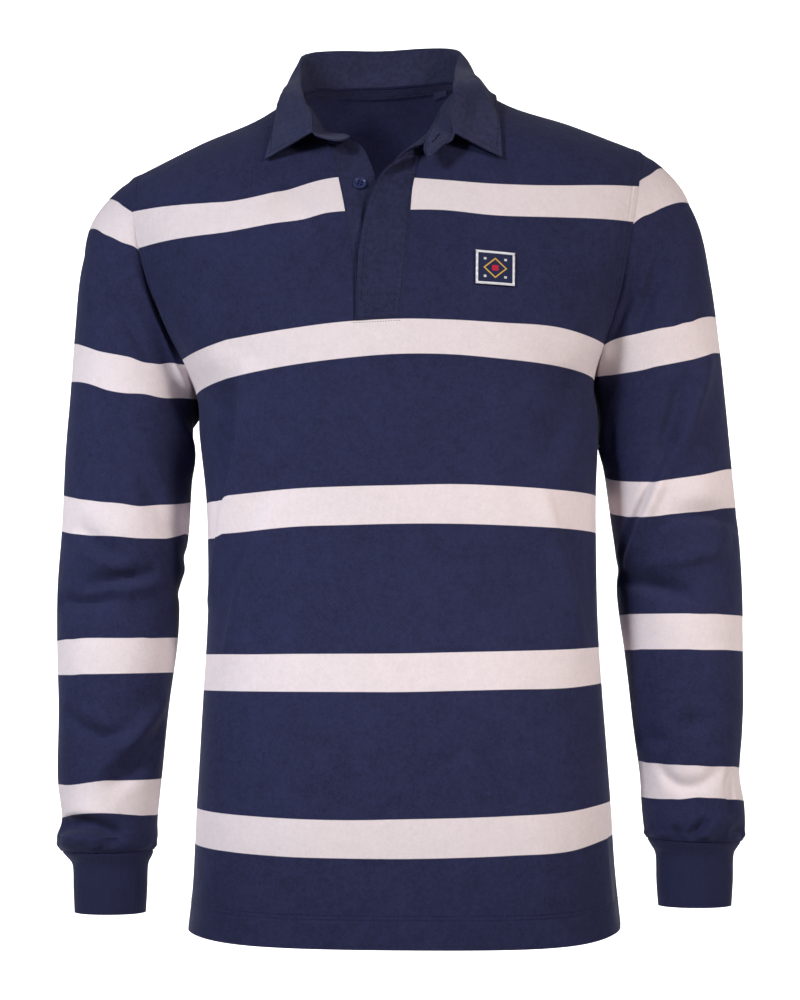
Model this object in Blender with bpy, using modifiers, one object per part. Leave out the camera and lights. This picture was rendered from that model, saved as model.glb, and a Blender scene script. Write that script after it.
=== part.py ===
"""Long-sleeved polo shirt of heavy striped jersey, filled out as it hangs on a wearer, collar open.

Frame: +X is the wearer's left, the front faces -Y and +Z is up. The origin is the middle of the base
of the neck, where the wearer's neck and shoulders hold the shirt up.

The cut is drawn in the body's own frame, in millimetres: "across" runs from the centre line to the
wearer's left and "height" runs up the spine, which leans a little to one side above the waist. The
front and back are ruled between their outer edge (side seam and armhole) and their inner edge, then
rounded over the chest, the sides and the shoulders. The sleeves and cuffs are lofted through rings.
"""
import math

import bpy
import numpy as np

MM = 0.001
SEAM_GAP = 0.45         # between two pieces at a seam, measured on the flat
JERSEY = 1.4            # striped cloth of the body and sleeves
RIB = 2.2               # doubled rib of the cuffs
TWILL = 1.6             # collar and plackets, two layers pressed together
TAPE = 0.8              # neck tape and label
BADGE = 1.2             # woven badge with its border

HEM = -727.0            # heights of the hem, the underarm and the shoulder tip
HEM_RISE = 9.0          # the hem rises this much towards the side seams, most of it near them
HEM_CURVE = 6
UNDERARM = -250.0
SHOULDER_TIP = -51.0
NECK_SIDE = 79.0        # across and height where the shoulder seam meets the neck
NECK_POINT = 16.5
SLIT_FOOT = -204.0      # foot of the placket slit
SHOULDER_ROLL = 60.0    # how far below the shoulder seam the cloth has turned to hang
ROUNDNESS = 2.5         # exponent of the body's rounded section
LEAN = 0.040            # slope of the shoulders, the wearer's left the higher
TURN = 0.06             # the chest turns a little to the wearer's right

# cells along each stretch of the cut
SIDE_ROWS = 10
ARMHOLE_ROWS = 11
PANEL_COLUMNS = 8
SLIT_ROWS = 6
NECK_ROWS = ARMHOLE_ROWS - SLIT_ROWS
PLACKET_COLUMNS = 3
BACK_NECK_COLUMNS = 8
SLEEVE_RINGS = 17
CUFF_RINGS = 4
SHOULDER_SPACING = 2.2  # rows of the neck crowd together towards the shoulder


class Table:
    """Rows of named columns, read smoothly at any value of the first column."""

    def __init__(self, columns, *rows):
        self.columns = columns.split()
        self.rows = np.array(sorted(rows), float)
        spans = np.diff(self.rows[:, :1], axis=0)
        slopes = np.diff(self.rows, axis=0) / spans
        inner = (slopes[:-1] * spans[1:] + slopes[1:] * spans[:-1]) / (spans[:-1] + spans[1:])
        self.slopes = np.vstack([slopes[:1], inner, slopes[-1:]])

    def read(self, column, key):
        keys = self.rows[:, 0]
        key = np.clip(key, keys[0], keys[-1])
        i = np.clip(np.searchsorted(keys, key) - 1, 0, len(keys) - 2)
        k = self.columns.index(column)
        span = keys[i + 1] - keys[i]
        t = (key - keys[i]) / span
        start, end = self.rows[i, k], self.rows[i + 1, k]
        leave, arrive = self.slopes[i, k] * span, self.slopes[i + 1, k] * span
        return (start + t * leave + t**2 * (3 * (end - start) - 2 * leave - arrive)
                + t**3 * (2 * (start - end) + leave + arrive))

    def point(self, columns, key):
        return np.stack([self.read(column, key) for column in columns.split()], axis=-1)


# the body by height: spine, side lean, half width, and depth to the front and to the back
BODY = Table(
    "height spine lean half_width front back",
    (HEM, 18.0, 0.0, 188.5, 125, 113),
    (-682, 18.2, 0.0, 184.0, 122, 110),
    (-615, 17.6, 0.0, 180.5, 120, 107),
    (-515, 16.8, 0.0, 174.0, 116, 101),
    (-430, 16.5, 0.0, 170.2, 115, 96),
    (-350, 15.5, 0.015, 171.0, 121, 96),
    (-285, 13.2, 0.034, 175.0, 126, 100),
    (UNDERARM, 10.4, LEAN, 175.0, 128, 102),
    (-225, 9.4, LEAN, 187.0, 129, 104),
    (-190, 8.0, LEAN, 206.0, 128, 107),
    (-150, 6.3, LEAN, 224.0, 124, 108),
    (-100, 4.0, LEAN, 237.0, 114, 106),
    (-50, 2.0, LEAN, 242.0, 96, 100),
    (-25, 1.2, LEAN, 243.0, 80, 95),
    (0, 0.8, LEAN, 243.0, 62, 88),
    (40, 0.0, LEAN, 243.0, 45, 78))

# the shoulder seam, carried on across the neck opening
SHOULDER = Table(
    "across height",
    (-40, 53), (0, 60), (40, 52), (60, 35.5), (NECK_SIDE, NECK_POINT), (100, 1.5), (165, -25.5),
    (225, SHOULDER_TIP))

# half breadth across at the armhole seam, on the wearer's left and right
ARMHOLE = Table(
    "height left right",
    (UNDERARM, 175.0, 175.0),
    (-225, 181.0, 181.5),
    (-205, 188.5, 191.5),
    (-180, 196.5, 203.5),
    (-145, 204.5, 213.0),
    (-120, 210.5, 218.0),
    (-85, 218.0, 222.0),
    (SHOULDER_TIP, 225.0, 225.0))

BACK_NECK = Table("across height", (-40, 34), (0, 35), (40, 34), (60, 30), (70, 24), (NECK_SIDE, NECK_POINT))

# (across, height) along the edges of the slit and the front neck, from the slit's foot up
SLIT_EDGE = {
    "right": [(-32, SLIT_FOOT), (-32, -150), (-37, -100), (-43, -66), (-50.4, -39)],
    "left": [(6, SLIT_FOOT), (15, -148), (19, -114), (24, -83), (34, -58), (44.5, -31)]}
FRONT_NECK = {
    "right": [(-50.4, -39), (-57, -25), (-64.5, -11), (-72, -2), (-77.5, 7), (-NECK_SIDE, NECK_POINT)],
    "left": [(44.5, -31), (50, -18), (57.5, -8), (67, 1), (75.5, 9), (NECK_SIDE, NECK_POINT)]}
HEM_MIDDLE = {"right": -22.0, "left": 22.0}     # where the slit's edges would meet the hem
BACK_HEM_MIDDLE = 50.0                          # half breadth of the back's middle strip at the hem
BACK_UNDERARM_MIDDLE = 71.0                     # and at the underarm

# free edges of the two plackets: (across, height, how far out of the chest)
UNDER_PLACKET_EDGE = [
    (0, SLIT_FOOT, -2.2), (-2, -150, -2.2), (-7, -95, -3), (-13, -66, -4), (-20, -50, -6), (-31, -40, -8)]
TOP_PLACKET_EDGE = [
    (-31, SLIT_FOOT, 2.4), (-24, -136, 2.6), (-16, -103, 3), (-3.5, -78, 7), (17, -61, 12), (33, -56, 14)]

# the longest soft folds of the body: from (across, height) to (across, height), height of the ridge
# (a trough if negative) and half width
FRONT_FOLDS = [
    (-128, -243, -150, -345, 5, 16), (-150, -345, -170, -440, 5, 14), (-106, -365, -150, -500, 4, 18),
    (140, -360, 160, -500, 4, 18), (150, -245, 120, -330, -3, 16), (-95, -90, -60, -120, -3, 14)]
BACK_FOLDS = [
    (-150, -255, -90, -400, 5, 20), (150, -250, 95, -390, 5, 20), (-60, -430, 20, -520, -4, 24),
    (70, -420, -10, -500, -3, 24)]

# the same for the sleeves: from (down, round) to (down, round), down from the armhole and round from
# the outer edge towards the front
SLEEVE_FOLDS = {
    "right": [
        (254, 65, 300, 90, -5, 12), (150, 60, 190, 95, -4, 12), (353, 40, 378, 66, 4, 11),
        (394, 40, 396, 78, -5, 10), (478, 38, 505, 62, -4, 10), (505, 62, 488, 90, -4, 10),
        (380, 190, 420, 250, -5, 16), (470, 200, 500, 260, -4, 14)],
    "left": [
        (250, 60, 296, 92, -4, 12), (330, 80, 392, 142, 6, 12), (410, 120, 432, 76, -5, 11),
        (500, 70, 520, 110, -3.5, 10), (380, 190, 420, 250, -5, 16), (470, 200, 500, 260, -4, 14)]}
RING_PITCH = 48.0       # mean length of a sleeve from ring to ring
SLEEVE_RADIUS = 50.0

# rings of the sleeves from armhole to cuff seam: outer and inner edge seen from the front
# (x, z), middle depth and half depth (y)
SLEEVE = {
    "right": Table(
        "ring outer_x outer_z inner_x inner_z middle_y half_depth",
        (0, -224, -59, -164, -257, 13, 60),
        (1, -245, -85, -166.4, -264, 13, 61),
        (2, -259, -109, -167.4, -271, 12, 62),
        (3, -269, -147, -167.8, -281, 11, 63),
        (4, -273.5, -200, -168, -296, 10, 63),
        (5, -277, -255, -168.4, -316, 9, 62),
        (6, -280.5, -305, -169.5, -340, 7, 60),
        (7, -283, -372, -172, -380, 5, 57),
        (8, -286, -425, -177.5, -425, 1, 53),
        (9, -285.5, -475, -180, -472, -3, 51),
        (10, -283, -530, -187, -530, -8, 48),
        (11, -282.5, -590, -192.5, -590, -14, 45),
        (12, -278, -625, -195, -625, -18, 43),
        (13, -282, -641, -194.7, -642, -20, 43),
        (14, -278.7, -653, -197.5, -652, -20, 37)),
    "left": Table(
        "ring outer_x outer_z inner_x inner_z middle_y half_depth",
        (0, 226, -42, 185.4, -243, -12, 60),
        (1, 247, -61, 187.6, -249, -12, 61),
        (2, 267, -84, 189.2, -257, -11, 62),
        (3, 280, -112, 190, -269, -10, 63),
        (4, 288, -153, 191, -285, -9, 63),
        (5, 294, -205, 192.5, -306, -8, 62),
        (6, 299, -262, 195.5, -331, -7, 60),
        (7, 304, -325, 199.5, -360, -7, 58),
        (8, 309.5, -385, 204, -398, -8, 55),
        (9, 312, -432, 205, -434, -9, 53),
        (10, 312.5, -480, 211, -480, -12, 50),
        (11, 313, -540, 217.5, -540, -16, 47),
        (12, 309.5, -585, 223, -585, -19, 45),
        (13, 313, -612, 224, -612, -21, 43),
        (14, 313.5, -632, 225.6, -631, -22, 43),
        (15, 311, -644.5, 227.8, -641.5, -22, 38))}
ARMHOLE_FADE = 3.0      # rings over which the sleeve takes over from the armhole's own shape

CUFF = {
    "right": Table(
        "ring outer_x outer_z inner_x inner_z middle_y half_depth",
        (0, -278.7, -653, -197.5, -652, -20, 37),
        (1, -273, -658.5, -199.8, -658, -20.5, 33.5),
        (2, -268, -666, -202.9, -666, -21, 30),
        (3, -267, -686, -203.4, -686, -22, 28.5),
        (4, -266, -706, -204.5, -706, -22, 28)),
    "left": Table(
        "ring outer_x outer_z inner_x inner_z middle_y half_depth",
        (0, 311, -644.5, 227.8, -641.5, -22, 38),
        (1, 306.5, -650, 232.2, -648.5, -22.5, 34),
        (2, 303.2, -657.5, 236, -657, -23, 30.5),
        (3, 302.4, -679, 236.4, -679, -24, 28.5),
        (4, 301, -700, 237.8, -700, -24, 28))}

# the collar round the neck: 0 and 6 are the ends of the stand, 1 and 5 the slit's edges, 2 and 4 the
# shoulder seams and 3 the middle of the back; the fold where the leaf turns over
COLLAR_FOLD = Table(
    "place x y z stand_share",
    (0, -27, -121, -51, 1.0),
    (0.33, -37, -120, -52.5, 1.0),
    (0.67, -47, -116, -49.5, 1.0),
    (1, -58.6, -110, -42, 1.0),
    (1.25, -60, -103, -27, 0.9),
    (1.5, -66, -78, -7, 0.75),
    (1.75, -69.7, -42, 11, 0.65),
    (2, -71, -2, 28, 0.62),
    (2.25, -70.8, 26, 46, 0.62),
    (2.5, -66, 50, 60, 0.62),
    (2.75, -41, 61, 66.5, 0.62),
    (3, -2, 64, 67.5, 0.62),
    (3.25, 37, 61, 69, 0.62),
    (3.5, 61, 49, 64, 0.62),
    (3.75, 64.8, 25, 50, 0.62),
    (4, 63.5, -8, 34, 0.62),
    (4.25, 61, -55, 13, 0.65),
    (4.5, 58.5, -95, -6, 0.75),
    (4.75, 58.5, -109, -25, 0.9),
    (5, 60, -115, -44, 1.0),
    (5.5, 49.5, -122, -57, 1.0),
    (6, 39.5, -128, -66, 1.0))

# the leaf's outer edge, from the right point round the back to the left point
LEAF_EDGE = Table(
    "place x y z",
    (1, -100, -93.5, -63),
    (1.25, -98, -87, -51),
    (1.45, -95, -73, -35),
    (1.7, -93.5, -51, -18),
    (1.87, -93.5, -24, -1),
    (2.1, -93, 8, 7),
    (2.3, -91, 28, 8),
    (2.5, -83, 48, 8),
    (2.75, -54, 80, 10),
    (3, 0, 91, 12),
    (3.25, 54, 79, 14),
    (3.5, 84, 45, 12),
    (3.7, 94, 25, 11),
    (3.9, 98, 0, 9),
    (4.1, 99.5, -30, 3),
    (4.3, 99.5, -62, -13),
    (4.5, 100, -84, -27),
    (4.75, 100.7, -101, -48),
    (5, 101.3, -109.5, -64.5))
LEAF_CLEAR = 4.2        # the leaf's outer face rides at least this far above the body
LEAF_OVER_SEAM = 6.0    # and this far off the stand's lower seam
LEAF_FOLD = 3.0         # radius of the fold
LEAF_BOW = 2.5          # how far the falling leaf bows outwards
LEAF_FALL_ROWS = 3
LEAF_ROWS = [0, 0.06, 0.12, 0.2, 0.32, 0.46, 0.64, 0.82, 1]     # where it lies open, seam to edge
LEAF_OPENS = 0.6        # over this last stretch of places the fold opens out flat
FOOT_RISE = 6.0         # past the shoulders the stand lifts this fast clear of the cloth under its
FOOT_LIFT = 3.2         # open ends, and no further than this

BADGE_CORNERS = [(72.4, -177), (105, -180.6), (105.8, -153), (73, -148.4)]     # across, height
BADGE_CELLS = 4
LABEL_COLUMNS = (1.88, 2.0, 2.35)
LABEL_LENGTH = 8.0
TAPE_WIDTH = 9.0
PANEL_GAP = 0.6         # what is laid on a panel clears its flat facets by this much
NECK_TURNING = 2.0      # the tape starts this far below the neck seam
TAPE_COLUMNS = np.arange(1, BACK_NECK_COLUMNS)     # along the back neck, from the wearer's left
BUTTON_RADIUS = 5.9
BUTTON_THICKNESS = 2.4
BUTTON_EDGE = 0.6       # radius of its rounded rim
BUTTON_SPOTS = {"button_placket": (4.2, 1.68), "button_collar": (1.0, 1.5)}    # row, column of its cloth

NAVY = (0.030, 0.031, 0.075)
COLLAR_NAVY = (0.036, 0.038, 0.075)
BUTTON_NAVY = (0.035, 0.038, 0.095)
BADGE_WHITE = (0.80, 0.80, 0.80)


def even(cells):
    return np.linspace(0, 1, cells + 1)


def closer_at_start(cells):
    return 1 - np.cos(even(cells) * math.pi / 2)


def closer_at_ends(cells):
    return (1 - np.cos(even(cells) * math.pi)) / 2


def closer_at_shoulder(cells):
    """Rows up the front neck, evened out for the way the cloth rolls level at the shoulder."""
    return 1 - (1 - even(cells)) ** SHOULDER_SPACING


def curve_through(points, shares):
    """A smooth curve through the points, read at these shares of its length."""
    points = np.array(points, float)
    steps = np.linalg.norm(np.diff(points[:, :2], axis=0), axis=1)
    lengths = np.concatenate([[0], np.cumsum(steps)]) / steps.sum()
    names = [f"c{i}" for i in range(points.shape[1])]
    table = Table("share " + " ".join(names), *np.column_stack([lengths, points]).tolist())
    return table.point(" ".join(names), np.asarray(shares))


def folds(across, height, rows):
    """How far these soft ridges and troughs push the cloth out."""
    total = np.zeros(np.broadcast(across, height).shape)
    for across_0, height_0, across_1, height_1, depth, half_width in rows:
        along = np.array([across_1 - across_0, height_1 - height_0])
        length = np.hypot(*along)
        t = ((across - across_0) * along[0] + (height - height_0) * along[1]) / length**2
        off = ((across - across_0) * along[1] - (height - height_0) * along[0]) / length
        end = np.clip(np.maximum(-t, t - 1), 0, None) * length
        total += depth * np.exp(-(off**2 + end**2) / half_width**2)
    return total


def body_point(across, height, face, out=0.0):
    """A point of the body's cloth: face is -1 on the front and 1 on the back."""
    across, height = np.broadcast_arrays(np.asarray(across, float), np.asarray(height, float))
    spread = np.clip(np.abs(across) / BODY.read("half_width", height), 0, 1)
    rounded = (1 - spread**ROUNDNESS) ** (1 / ROUNDNESS)
    below = np.clip(SHOULDER.read("height", np.abs(across)) - height, 0, SHOULDER_ROLL)
    rolled = np.sqrt(1 - (1 - below / SHOULDER_ROLL) ** 2)
    depth = BODY.read("front" if face < 0 else "back", height)
    crease = folds(across, height, FRONT_FOLDS if face < 0 else BACK_FOLDS)
    y = face * (depth * rounded * rolled + (crease + out) * np.minimum(1, 2 * rounded)) - TURN * across
    x = BODY.read("spine", height) + across
    z = height + BODY.read("lean", height) * across
    return np.stack([x, y, z], axis=-1)


def laid_on(across, height, face, rise):
    """Points this far off the body's cloth, square to it; inside it if negative."""
    here = body_point(across, height, face)
    along = body_point(across + 1.0, height, face) - here
    up = body_point(across, height + 1.0, face) - here
    return here - face * unit(np.cross(along, up)) * rise


def side_and_armhole(side):
    """The outer edge of the front and back, from the hem up to the shoulder tip."""
    sign = 1 if side == "left" else -1
    low = HEM + (UNDERARM - HEM) * even(SIDE_ROWS)
    high = UNDERARM + (SHOULDER_TIP - UNDERARM) * closer_at_ends(ARMHOLE_ROWS)
    seam = np.column_stack([sign * BODY.read("half_width", low), low])
    armhole = np.column_stack([sign * ARMHOLE.read(side, high), high])
    return np.vstack([seam, armhole[1:]])


def ruled(outer, inner, columns):
    """A grid between two edges, closer together at the outer one, whose top row is the shoulder seam."""
    share = closer_at_start(columns)[None, :, None]
    grid = outer[:, None] * (1 - share) + inner[:, None] * share
    top = SHOULDER.read("height", np.abs(grid[-1, :, 0])) - grid[-1, :, 1]
    rise = np.clip((np.arange(len(outer)) - SIDE_ROWS) / ARMHOLE_ROWS, 0, 1) ** 3
    grid[:, :, 1] += rise[:, None] * top[None]
    fall = np.clip(1 - np.arange(len(outer)) / SIDE_ROWS, 0, 1) ** 2
    spread = np.abs(grid[0, :, 0]) / BODY.read("half_width", HEM)
    grid[:, :, 1] += fall[:, None] * HEM_RISE * spread[None] ** HEM_CURVE
    return grid


def front_inner_edge(side):
    foot = np.array(SLIT_EDGE[side][0], float)
    low = np.linspace((HEM_MIDDLE[side], HEM), foot, SIDE_ROWS + 1)
    slit = curve_through(SLIT_EDGE[side], even(SLIT_ROWS))
    neck = curve_through(FRONT_NECK[side], closer_at_shoulder(NECK_ROWS))
    return np.vstack([low, slit[1:], neck[1:]])


def front_patches():
    patches = []
    for side in ("right", "left"):
        patches.append(ruled(side_and_armhole(side), front_inner_edge(side), PANEL_COLUMNS))
    middle = [patch[:SIDE_ROWS + 1, -1] for patch in patches]
    share = even(PLACKET_COLUMNS)[None, :, None]
    patches.append(middle[0][:, None] * (1 - share) + middle[1][:, None] * share)
    patches[1] = patches[1][:, ::-1]
    return [body_point(patch[..., 0], patch[..., 1], -1) for patch in patches]


def back_patches():
    patches = []
    for side, sign in (("right", -1), ("left", 1)):
        rise = np.concatenate([even(SIDE_ROWS), 1 + even(ARMHOLE_ROWS)[1:]])
        foot = np.array([sign * BACK_HEM_MIDDLE, HEM])
        knee = np.array([sign * BACK_UNDERARM_MIDDLE, UNDERARM])
        top = np.array([sign * NECK_SIDE, SHOULDER.read("height", NECK_SIDE)])
        low = foot + (knee - foot) * np.clip(rise, 0, 1)[:, None]
        last = closer_at_ends(ARMHOLE_ROWS)[:, None]
        inner = np.vstack([low[:SIDE_ROWS + 1], (knee + (top - knee) * last)[1:]])
        patches.append(ruled(side_and_armhole(side), inner, PANEL_COLUMNS))
    right, left = (patch[:, -1] for patch in patches)
    share = closer_at_ends(BACK_NECK_COLUMNS)[None, :, None]
    middle = right[:, None] * (1 - share) + left[:, None] * share
    neck = BACK_NECK.read("height", np.abs(middle[-1, :, 0])) - middle[-1, :, 1]
    rise = np.clip((np.arange(len(middle)) - SIDE_ROWS) / ARMHOLE_ROWS, 0, 1) ** 3
    middle[:, :, 1] += rise[:, None] * neck[None]
    patches = [patches[0][:, ::-1], patches[1], middle[:, ::-1]]
    return [body_point(patch[..., 0], patch[..., 1], 1) for patch in patches]


def armhole_loop(side):
    """The armhole seam, from the shoulder tip down the front to the underarm and up the back."""
    edge = side_and_armhole(side)[SIDE_ROWS:][::-1]
    front = body_point(edge[:, 0], edge[:, 1], -1)
    back = body_point(edge[:, 0], edge[:, 1], 1)
    return np.vstack([front, back[::-1][1:]])


def ring_points(table, ring, angles, rows=()):
    outer, inner = table.point("outer_x outer_z", ring), table.point("inner_x inner_z", ring)
    middle, reach = (outer + inner) / 2, (outer - inner) / 2
    out = 1 + folds(ring * RING_PITCH, angles * SLEEVE_RADIUS, rows) / SLEEVE_RADIUS
    seen = middle + reach * (out * np.cos(angles))[:, None]
    y = table.read("middle_y", ring) - table.read("half_depth", ring) * out * np.sin(angles)
    return np.column_stack([seen[:, 0], y, seen[:, 1]])


def tube(table, rings, loop=None, rows=()):
    """Rings of a sleeve or cuff; a sleeve's first rings ease out of its armhole loop."""
    angles = np.arange(2 * ARMHOLE_ROWS + 1) * math.pi / ARMHOLE_ROWS
    grid = []
    for ring in table.rows[-1, 0] * even(rings):
        points = ring_points(table, ring, angles, rows)
        if loop is not None:
            fade = np.clip(1 - ring / ARMHOLE_FADE, 0, 1) ** 2
            points += (loop - ring_points(table, 0, angles)) * fade
        grid.append(points)
    return np.array(grid)


def placket(side, free_edge):
    """A strip from the slit's edge to its free edge, its foot at the foot of the slit."""
    sewn = curve_through(SLIT_EDGE[side], even(SLIT_ROWS))
    free = curve_through(free_edge, even(SLIT_ROWS))
    share = even(PLACKET_COLUMNS)
    grid = sewn[:, None] * (1 - share[None, :, None]) + free[:, None, :2] * share[None, :, None]
    out = free[:, 2][:, None] * np.minimum(1, 2 * share if free[0, 2] < 0 else share)[None]
    return body_point(grid[..., 0], grid[..., 1], -1, out)


def stations():
    """Places round the collar, one for each point of the neck seam."""
    ends, neck, back = even(PLACKET_COLUMNS), even(NECK_ROWS), even(BACK_NECK_COLUMNS) * 2
    return np.concatenate([ends, 1 + neck[1:], 2 + back[1:], 4 + neck[1:], 5 + ends[1:]])


def neck_seam(under, top):
    """The lower edge of the stand: along the under placket, the neck and the top placket."""
    right = curve_through(FRONT_NECK["right"], closer_at_shoulder(NECK_ROWS))
    left = curve_through(FRONT_NECK["left"], closer_at_shoulder(NECK_ROWS))[::-1]
    across = -NECK_SIDE + 2 * NECK_SIDE * closer_at_ends(BACK_NECK_COLUMNS)
    back = body_point(across, BACK_NECK.read("height", np.abs(across)), 1)
    return np.vstack([under[-1, ::-1],
                      body_point(right[1:, 0], right[1:, 1], -1), back[1:],
                      body_point(left[1:, 0], left[1:, 1], -1), top[-1, 1:]])


def depth_over_body(points):
    """How far each point lies outside the body's cloth, and the way out of it."""
    height = points[..., 2] - LEAN * points[..., 0]
    across = points[..., 0] - BODY.read("spine", height)
    crest = SHOULDER.read("height", np.abs(across))
    y = points[..., 1] + TURN * across
    face = np.where(y < 0, -1.0, 1.0)
    spread = np.clip(np.abs(across) / BODY.read("half_width", height), 0, 1)
    depth = (np.where(y < 0, BODY.read("front", height), BODY.read("back", height))
             * (1 - spread**ROUNDNESS) ** (1 / ROUNDNESS))
    up = height - (crest - SHOULDER_ROLL)
    share = np.sqrt((np.abs(y) / depth) ** 2 + (np.maximum(up, 0) / SHOULDER_ROLL) ** 2)
    way = np.stack([np.zeros_like(y), face * np.abs(y) / depth**2, np.maximum(up, 0) / SHOULDER_ROLL**2],
                   axis=-1)
    steepness = np.linalg.norm(way, axis=-1) / np.maximum(share, 1e-6)
    return (share - 1) / steepness, unit(way)


def lifted_clear(points, clear):
    """Moves points nearer the body's cloth than this straight out of it."""
    for _ in range(4):
        outside, way = depth_over_body(points)
        points = points + way * np.clip(clear - outside, 0, None)[..., None]
    return points


def collar_grids(under, top):
    """The stand and the leaf, which share the seam between them."""
    seam, place = neck_seam(under, top), stations()
    fold = COLLAR_FOLD.point("x y z", place)
    crest = seam + (fold - seam) * COLLAR_FOLD.read("stand_share", place)[:, None]
    rise = unit(fold - seam)
    away = unit(np.cross(rise, np.gradient(fold, axis=0)))
    foot = seam + np.outer(np.clip((np.abs(place - 3) - 1) * FOOT_RISE, 0, FOOT_LIFT), [0, 0, 1])
    stand = np.stack([foot, (foot + crest) / 2 + away, crest])

    held = (place > 0.99) & (place < 5.01)
    seam, fold, crest, rise, away = seam[held], fold[held], crest[held], rise[held], away[held]
    edge = LEAF_EDGE.point("x y z", place[held])
    turned = fold + away * 2 * LEAF_FOLD - rise * LEAF_FOLD
    over = seam + away * LEAF_OVER_SEAM
    short = np.sum(((turned + edge) / 2 - over) * away, axis=1)
    over += away * np.maximum(short, 0)[:, None]
    profile = [crest, fold + (crest - fold) / 3, fold + (away + rise / 2) * LEAF_FOLD,
               turned, (turned + over) / 2 + away * LEAF_BOW]
    for share in even(LEAF_FALL_ROWS):
        profile.append(over + (edge - over) * share + away * LEAF_BOW * (1 - share))
    opened = crest + (edge - crest) * np.array(LEAF_ROWS)[:, None, None]
    share = np.clip((2 - np.abs(place[held] - 3)) / LEAF_OPENS, 0, 1)
    share = (share**2 * (3 - 2 * share))[None, :, None]
    leaf = np.stack(profile) * share + opened * (1 - share)
    leaf[4:] = lifted_clear(leaf[4:], LEAF_CLEAR)
    return stand, leaf


def welded(grids):
    """The points of all grids, each place once, with the faces of each grid as quads of them."""
    points = np.vstack([grid.reshape(-1, 3) for grid in grids])
    _, first, places = np.unique(np.round(points, 2), axis=0, return_index=True, return_inverse=True)
    faces, start = [], 0
    for grid in grids:
        rows, columns = grid.shape[:2]
        number = places[start:start + rows * columns].reshape(rows, columns)
        quads = np.stack([number[:-1, :-1], number[:-1, 1:], number[1:, 1:], number[1:, :-1]], axis=-1)
        faces.append(quads.reshape(-1, 4))
        start += rows * columns
    return points[first], faces


def unit(vectors):
    return vectors / np.maximum(np.linalg.norm(vectors, axis=-1, keepdims=True), 1e-12)


def point_normals(points, quads):
    """The mean outward direction at each point."""
    corners = points[quads]
    facing = unit(np.cross(corners[:, 2] - corners[:, 0], corners[:, 3] - corners[:, 1]))
    normals = np.zeros_like(points)
    for corner in range(4):
        np.add.at(normals, quads[:, corner], facing)
    return unit(normals)


def rim_edges(quads):
    """The directed edges that only one quad uses."""
    edges = {(quad[i], quad[(i + 1) % 4]) for quad in quads.tolist() for i in range(4)}
    return [(a, b) for a, b in sorted(edges) if (b, a) not in edges]


def drawn_in(points, normals, rim):
    """How far each rim point moves into its piece, to leave half the seam's gap."""
    inward = {}
    for a, b in rim:
        direction = unit(np.cross(normals[a] + normals[b], points[b] - points[a]))
        inward.setdefault(a, []).append(direction)
        inward.setdefault(b, []).append(direction)
    shift = np.zeros_like(points)
    for point, directions in inward.items():
        total = np.sum(directions, axis=0)
        shift[point] = SEAM_GAP / 2 * len(directions) * total / max(total @ total, 1.0)
    return shift


def material(name, colour, roughness):
    made = bpy.data.materials.get(name) or bpy.data.materials.new(name)
    made.use_nodes = True
    shader = made.node_tree.nodes["Principled BSDF"]
    shader.inputs["Base Color"].default_value = (*colour, 1)
    shader.inputs["Roughness"].default_value = roughness
    shader.inputs["Metallic"].default_value = 0.0
    return made


def add_object(name, points, faces, finish):
    mesh = bpy.data.meshes.new(name)
    mesh.from_pydata((np.asarray(points) * MM).tolist(), [], faces)
    mesh.validate()
    mesh.shade_smooth()
    mesh.materials.append(finish)
    made = bpy.data.objects.new(name, mesh)
    SHIRT.objects.link(made)
    return made


def wall(name, points, normals, quads, thickness, finish, aside=0.0):
    """A closed wall of cloth behind the quads, drawn in at its rim; aside moves the first rim in X."""
    used = np.unique(quads)
    number = {old: new for new, old in enumerate(used.tolist())}
    rim = rim_edges(quads)
    outer = points + drawn_in(points, normals, rim)
    inner = outer - normals * thickness
    if aside:
        first = sorted({p for edge in rim for p in edge}, key=lambda p: -points[p, 2])[:2 * ARMHOLE_ROWS]
        outer[first, 0] += aside
        inner[first, 0] += aside
    count = len(used)
    faces = [[number[p] for p in quad] for quad in quads.tolist()]
    faces += [[number[p] + count for p in reversed(quad)] for quad in quads.tolist()]
    for a, b in rim:        # two pieces that share a seam split it along the same diagonals
        corners = [number[b], number[a], number[a] + count, number[b] + count]
        if a > b:
            corners = corners[1:] + corners[:1]
        faces += [[corners[0], corners[1], corners[2]], [corners[0], corners[2], corners[3]]]
    return add_object(name, np.vstack([outer[used], inner[used]]), faces, finish)


def backed_patch(name, grid, thickness, finish):
    """A small piece that lies on a panel: a wall behind its own grid."""
    points, faces = welded([grid])
    return wall(name, points, point_normals(points, faces[0]), faces[0], thickness, finish)


def hung_inside(grid, columns, drops):
    """Points inside a panel, these lengths down from its top edge at these of its columns."""
    facing = unit(np.cross(np.gradient(grid, axis=1), np.gradient(grid, axis=0)))
    inner = (grid - facing * (JERSEY + 2 * PANEL_GAP))[::-1]
    made = []
    for column in columns:
        i = min(int(column), grid.shape[1] - 2)
        line = inner[:, i] + (inner[:, i + 1] - inner[:, i]) * (column - i)
        down = np.concatenate([[0], np.cumsum(np.linalg.norm(np.diff(line, axis=0), axis=1))])
        made.append(np.column_stack([np.interp(drops, down, line[:, k]) for k in range(3)]))
    return np.stack(made, axis=1)


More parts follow.
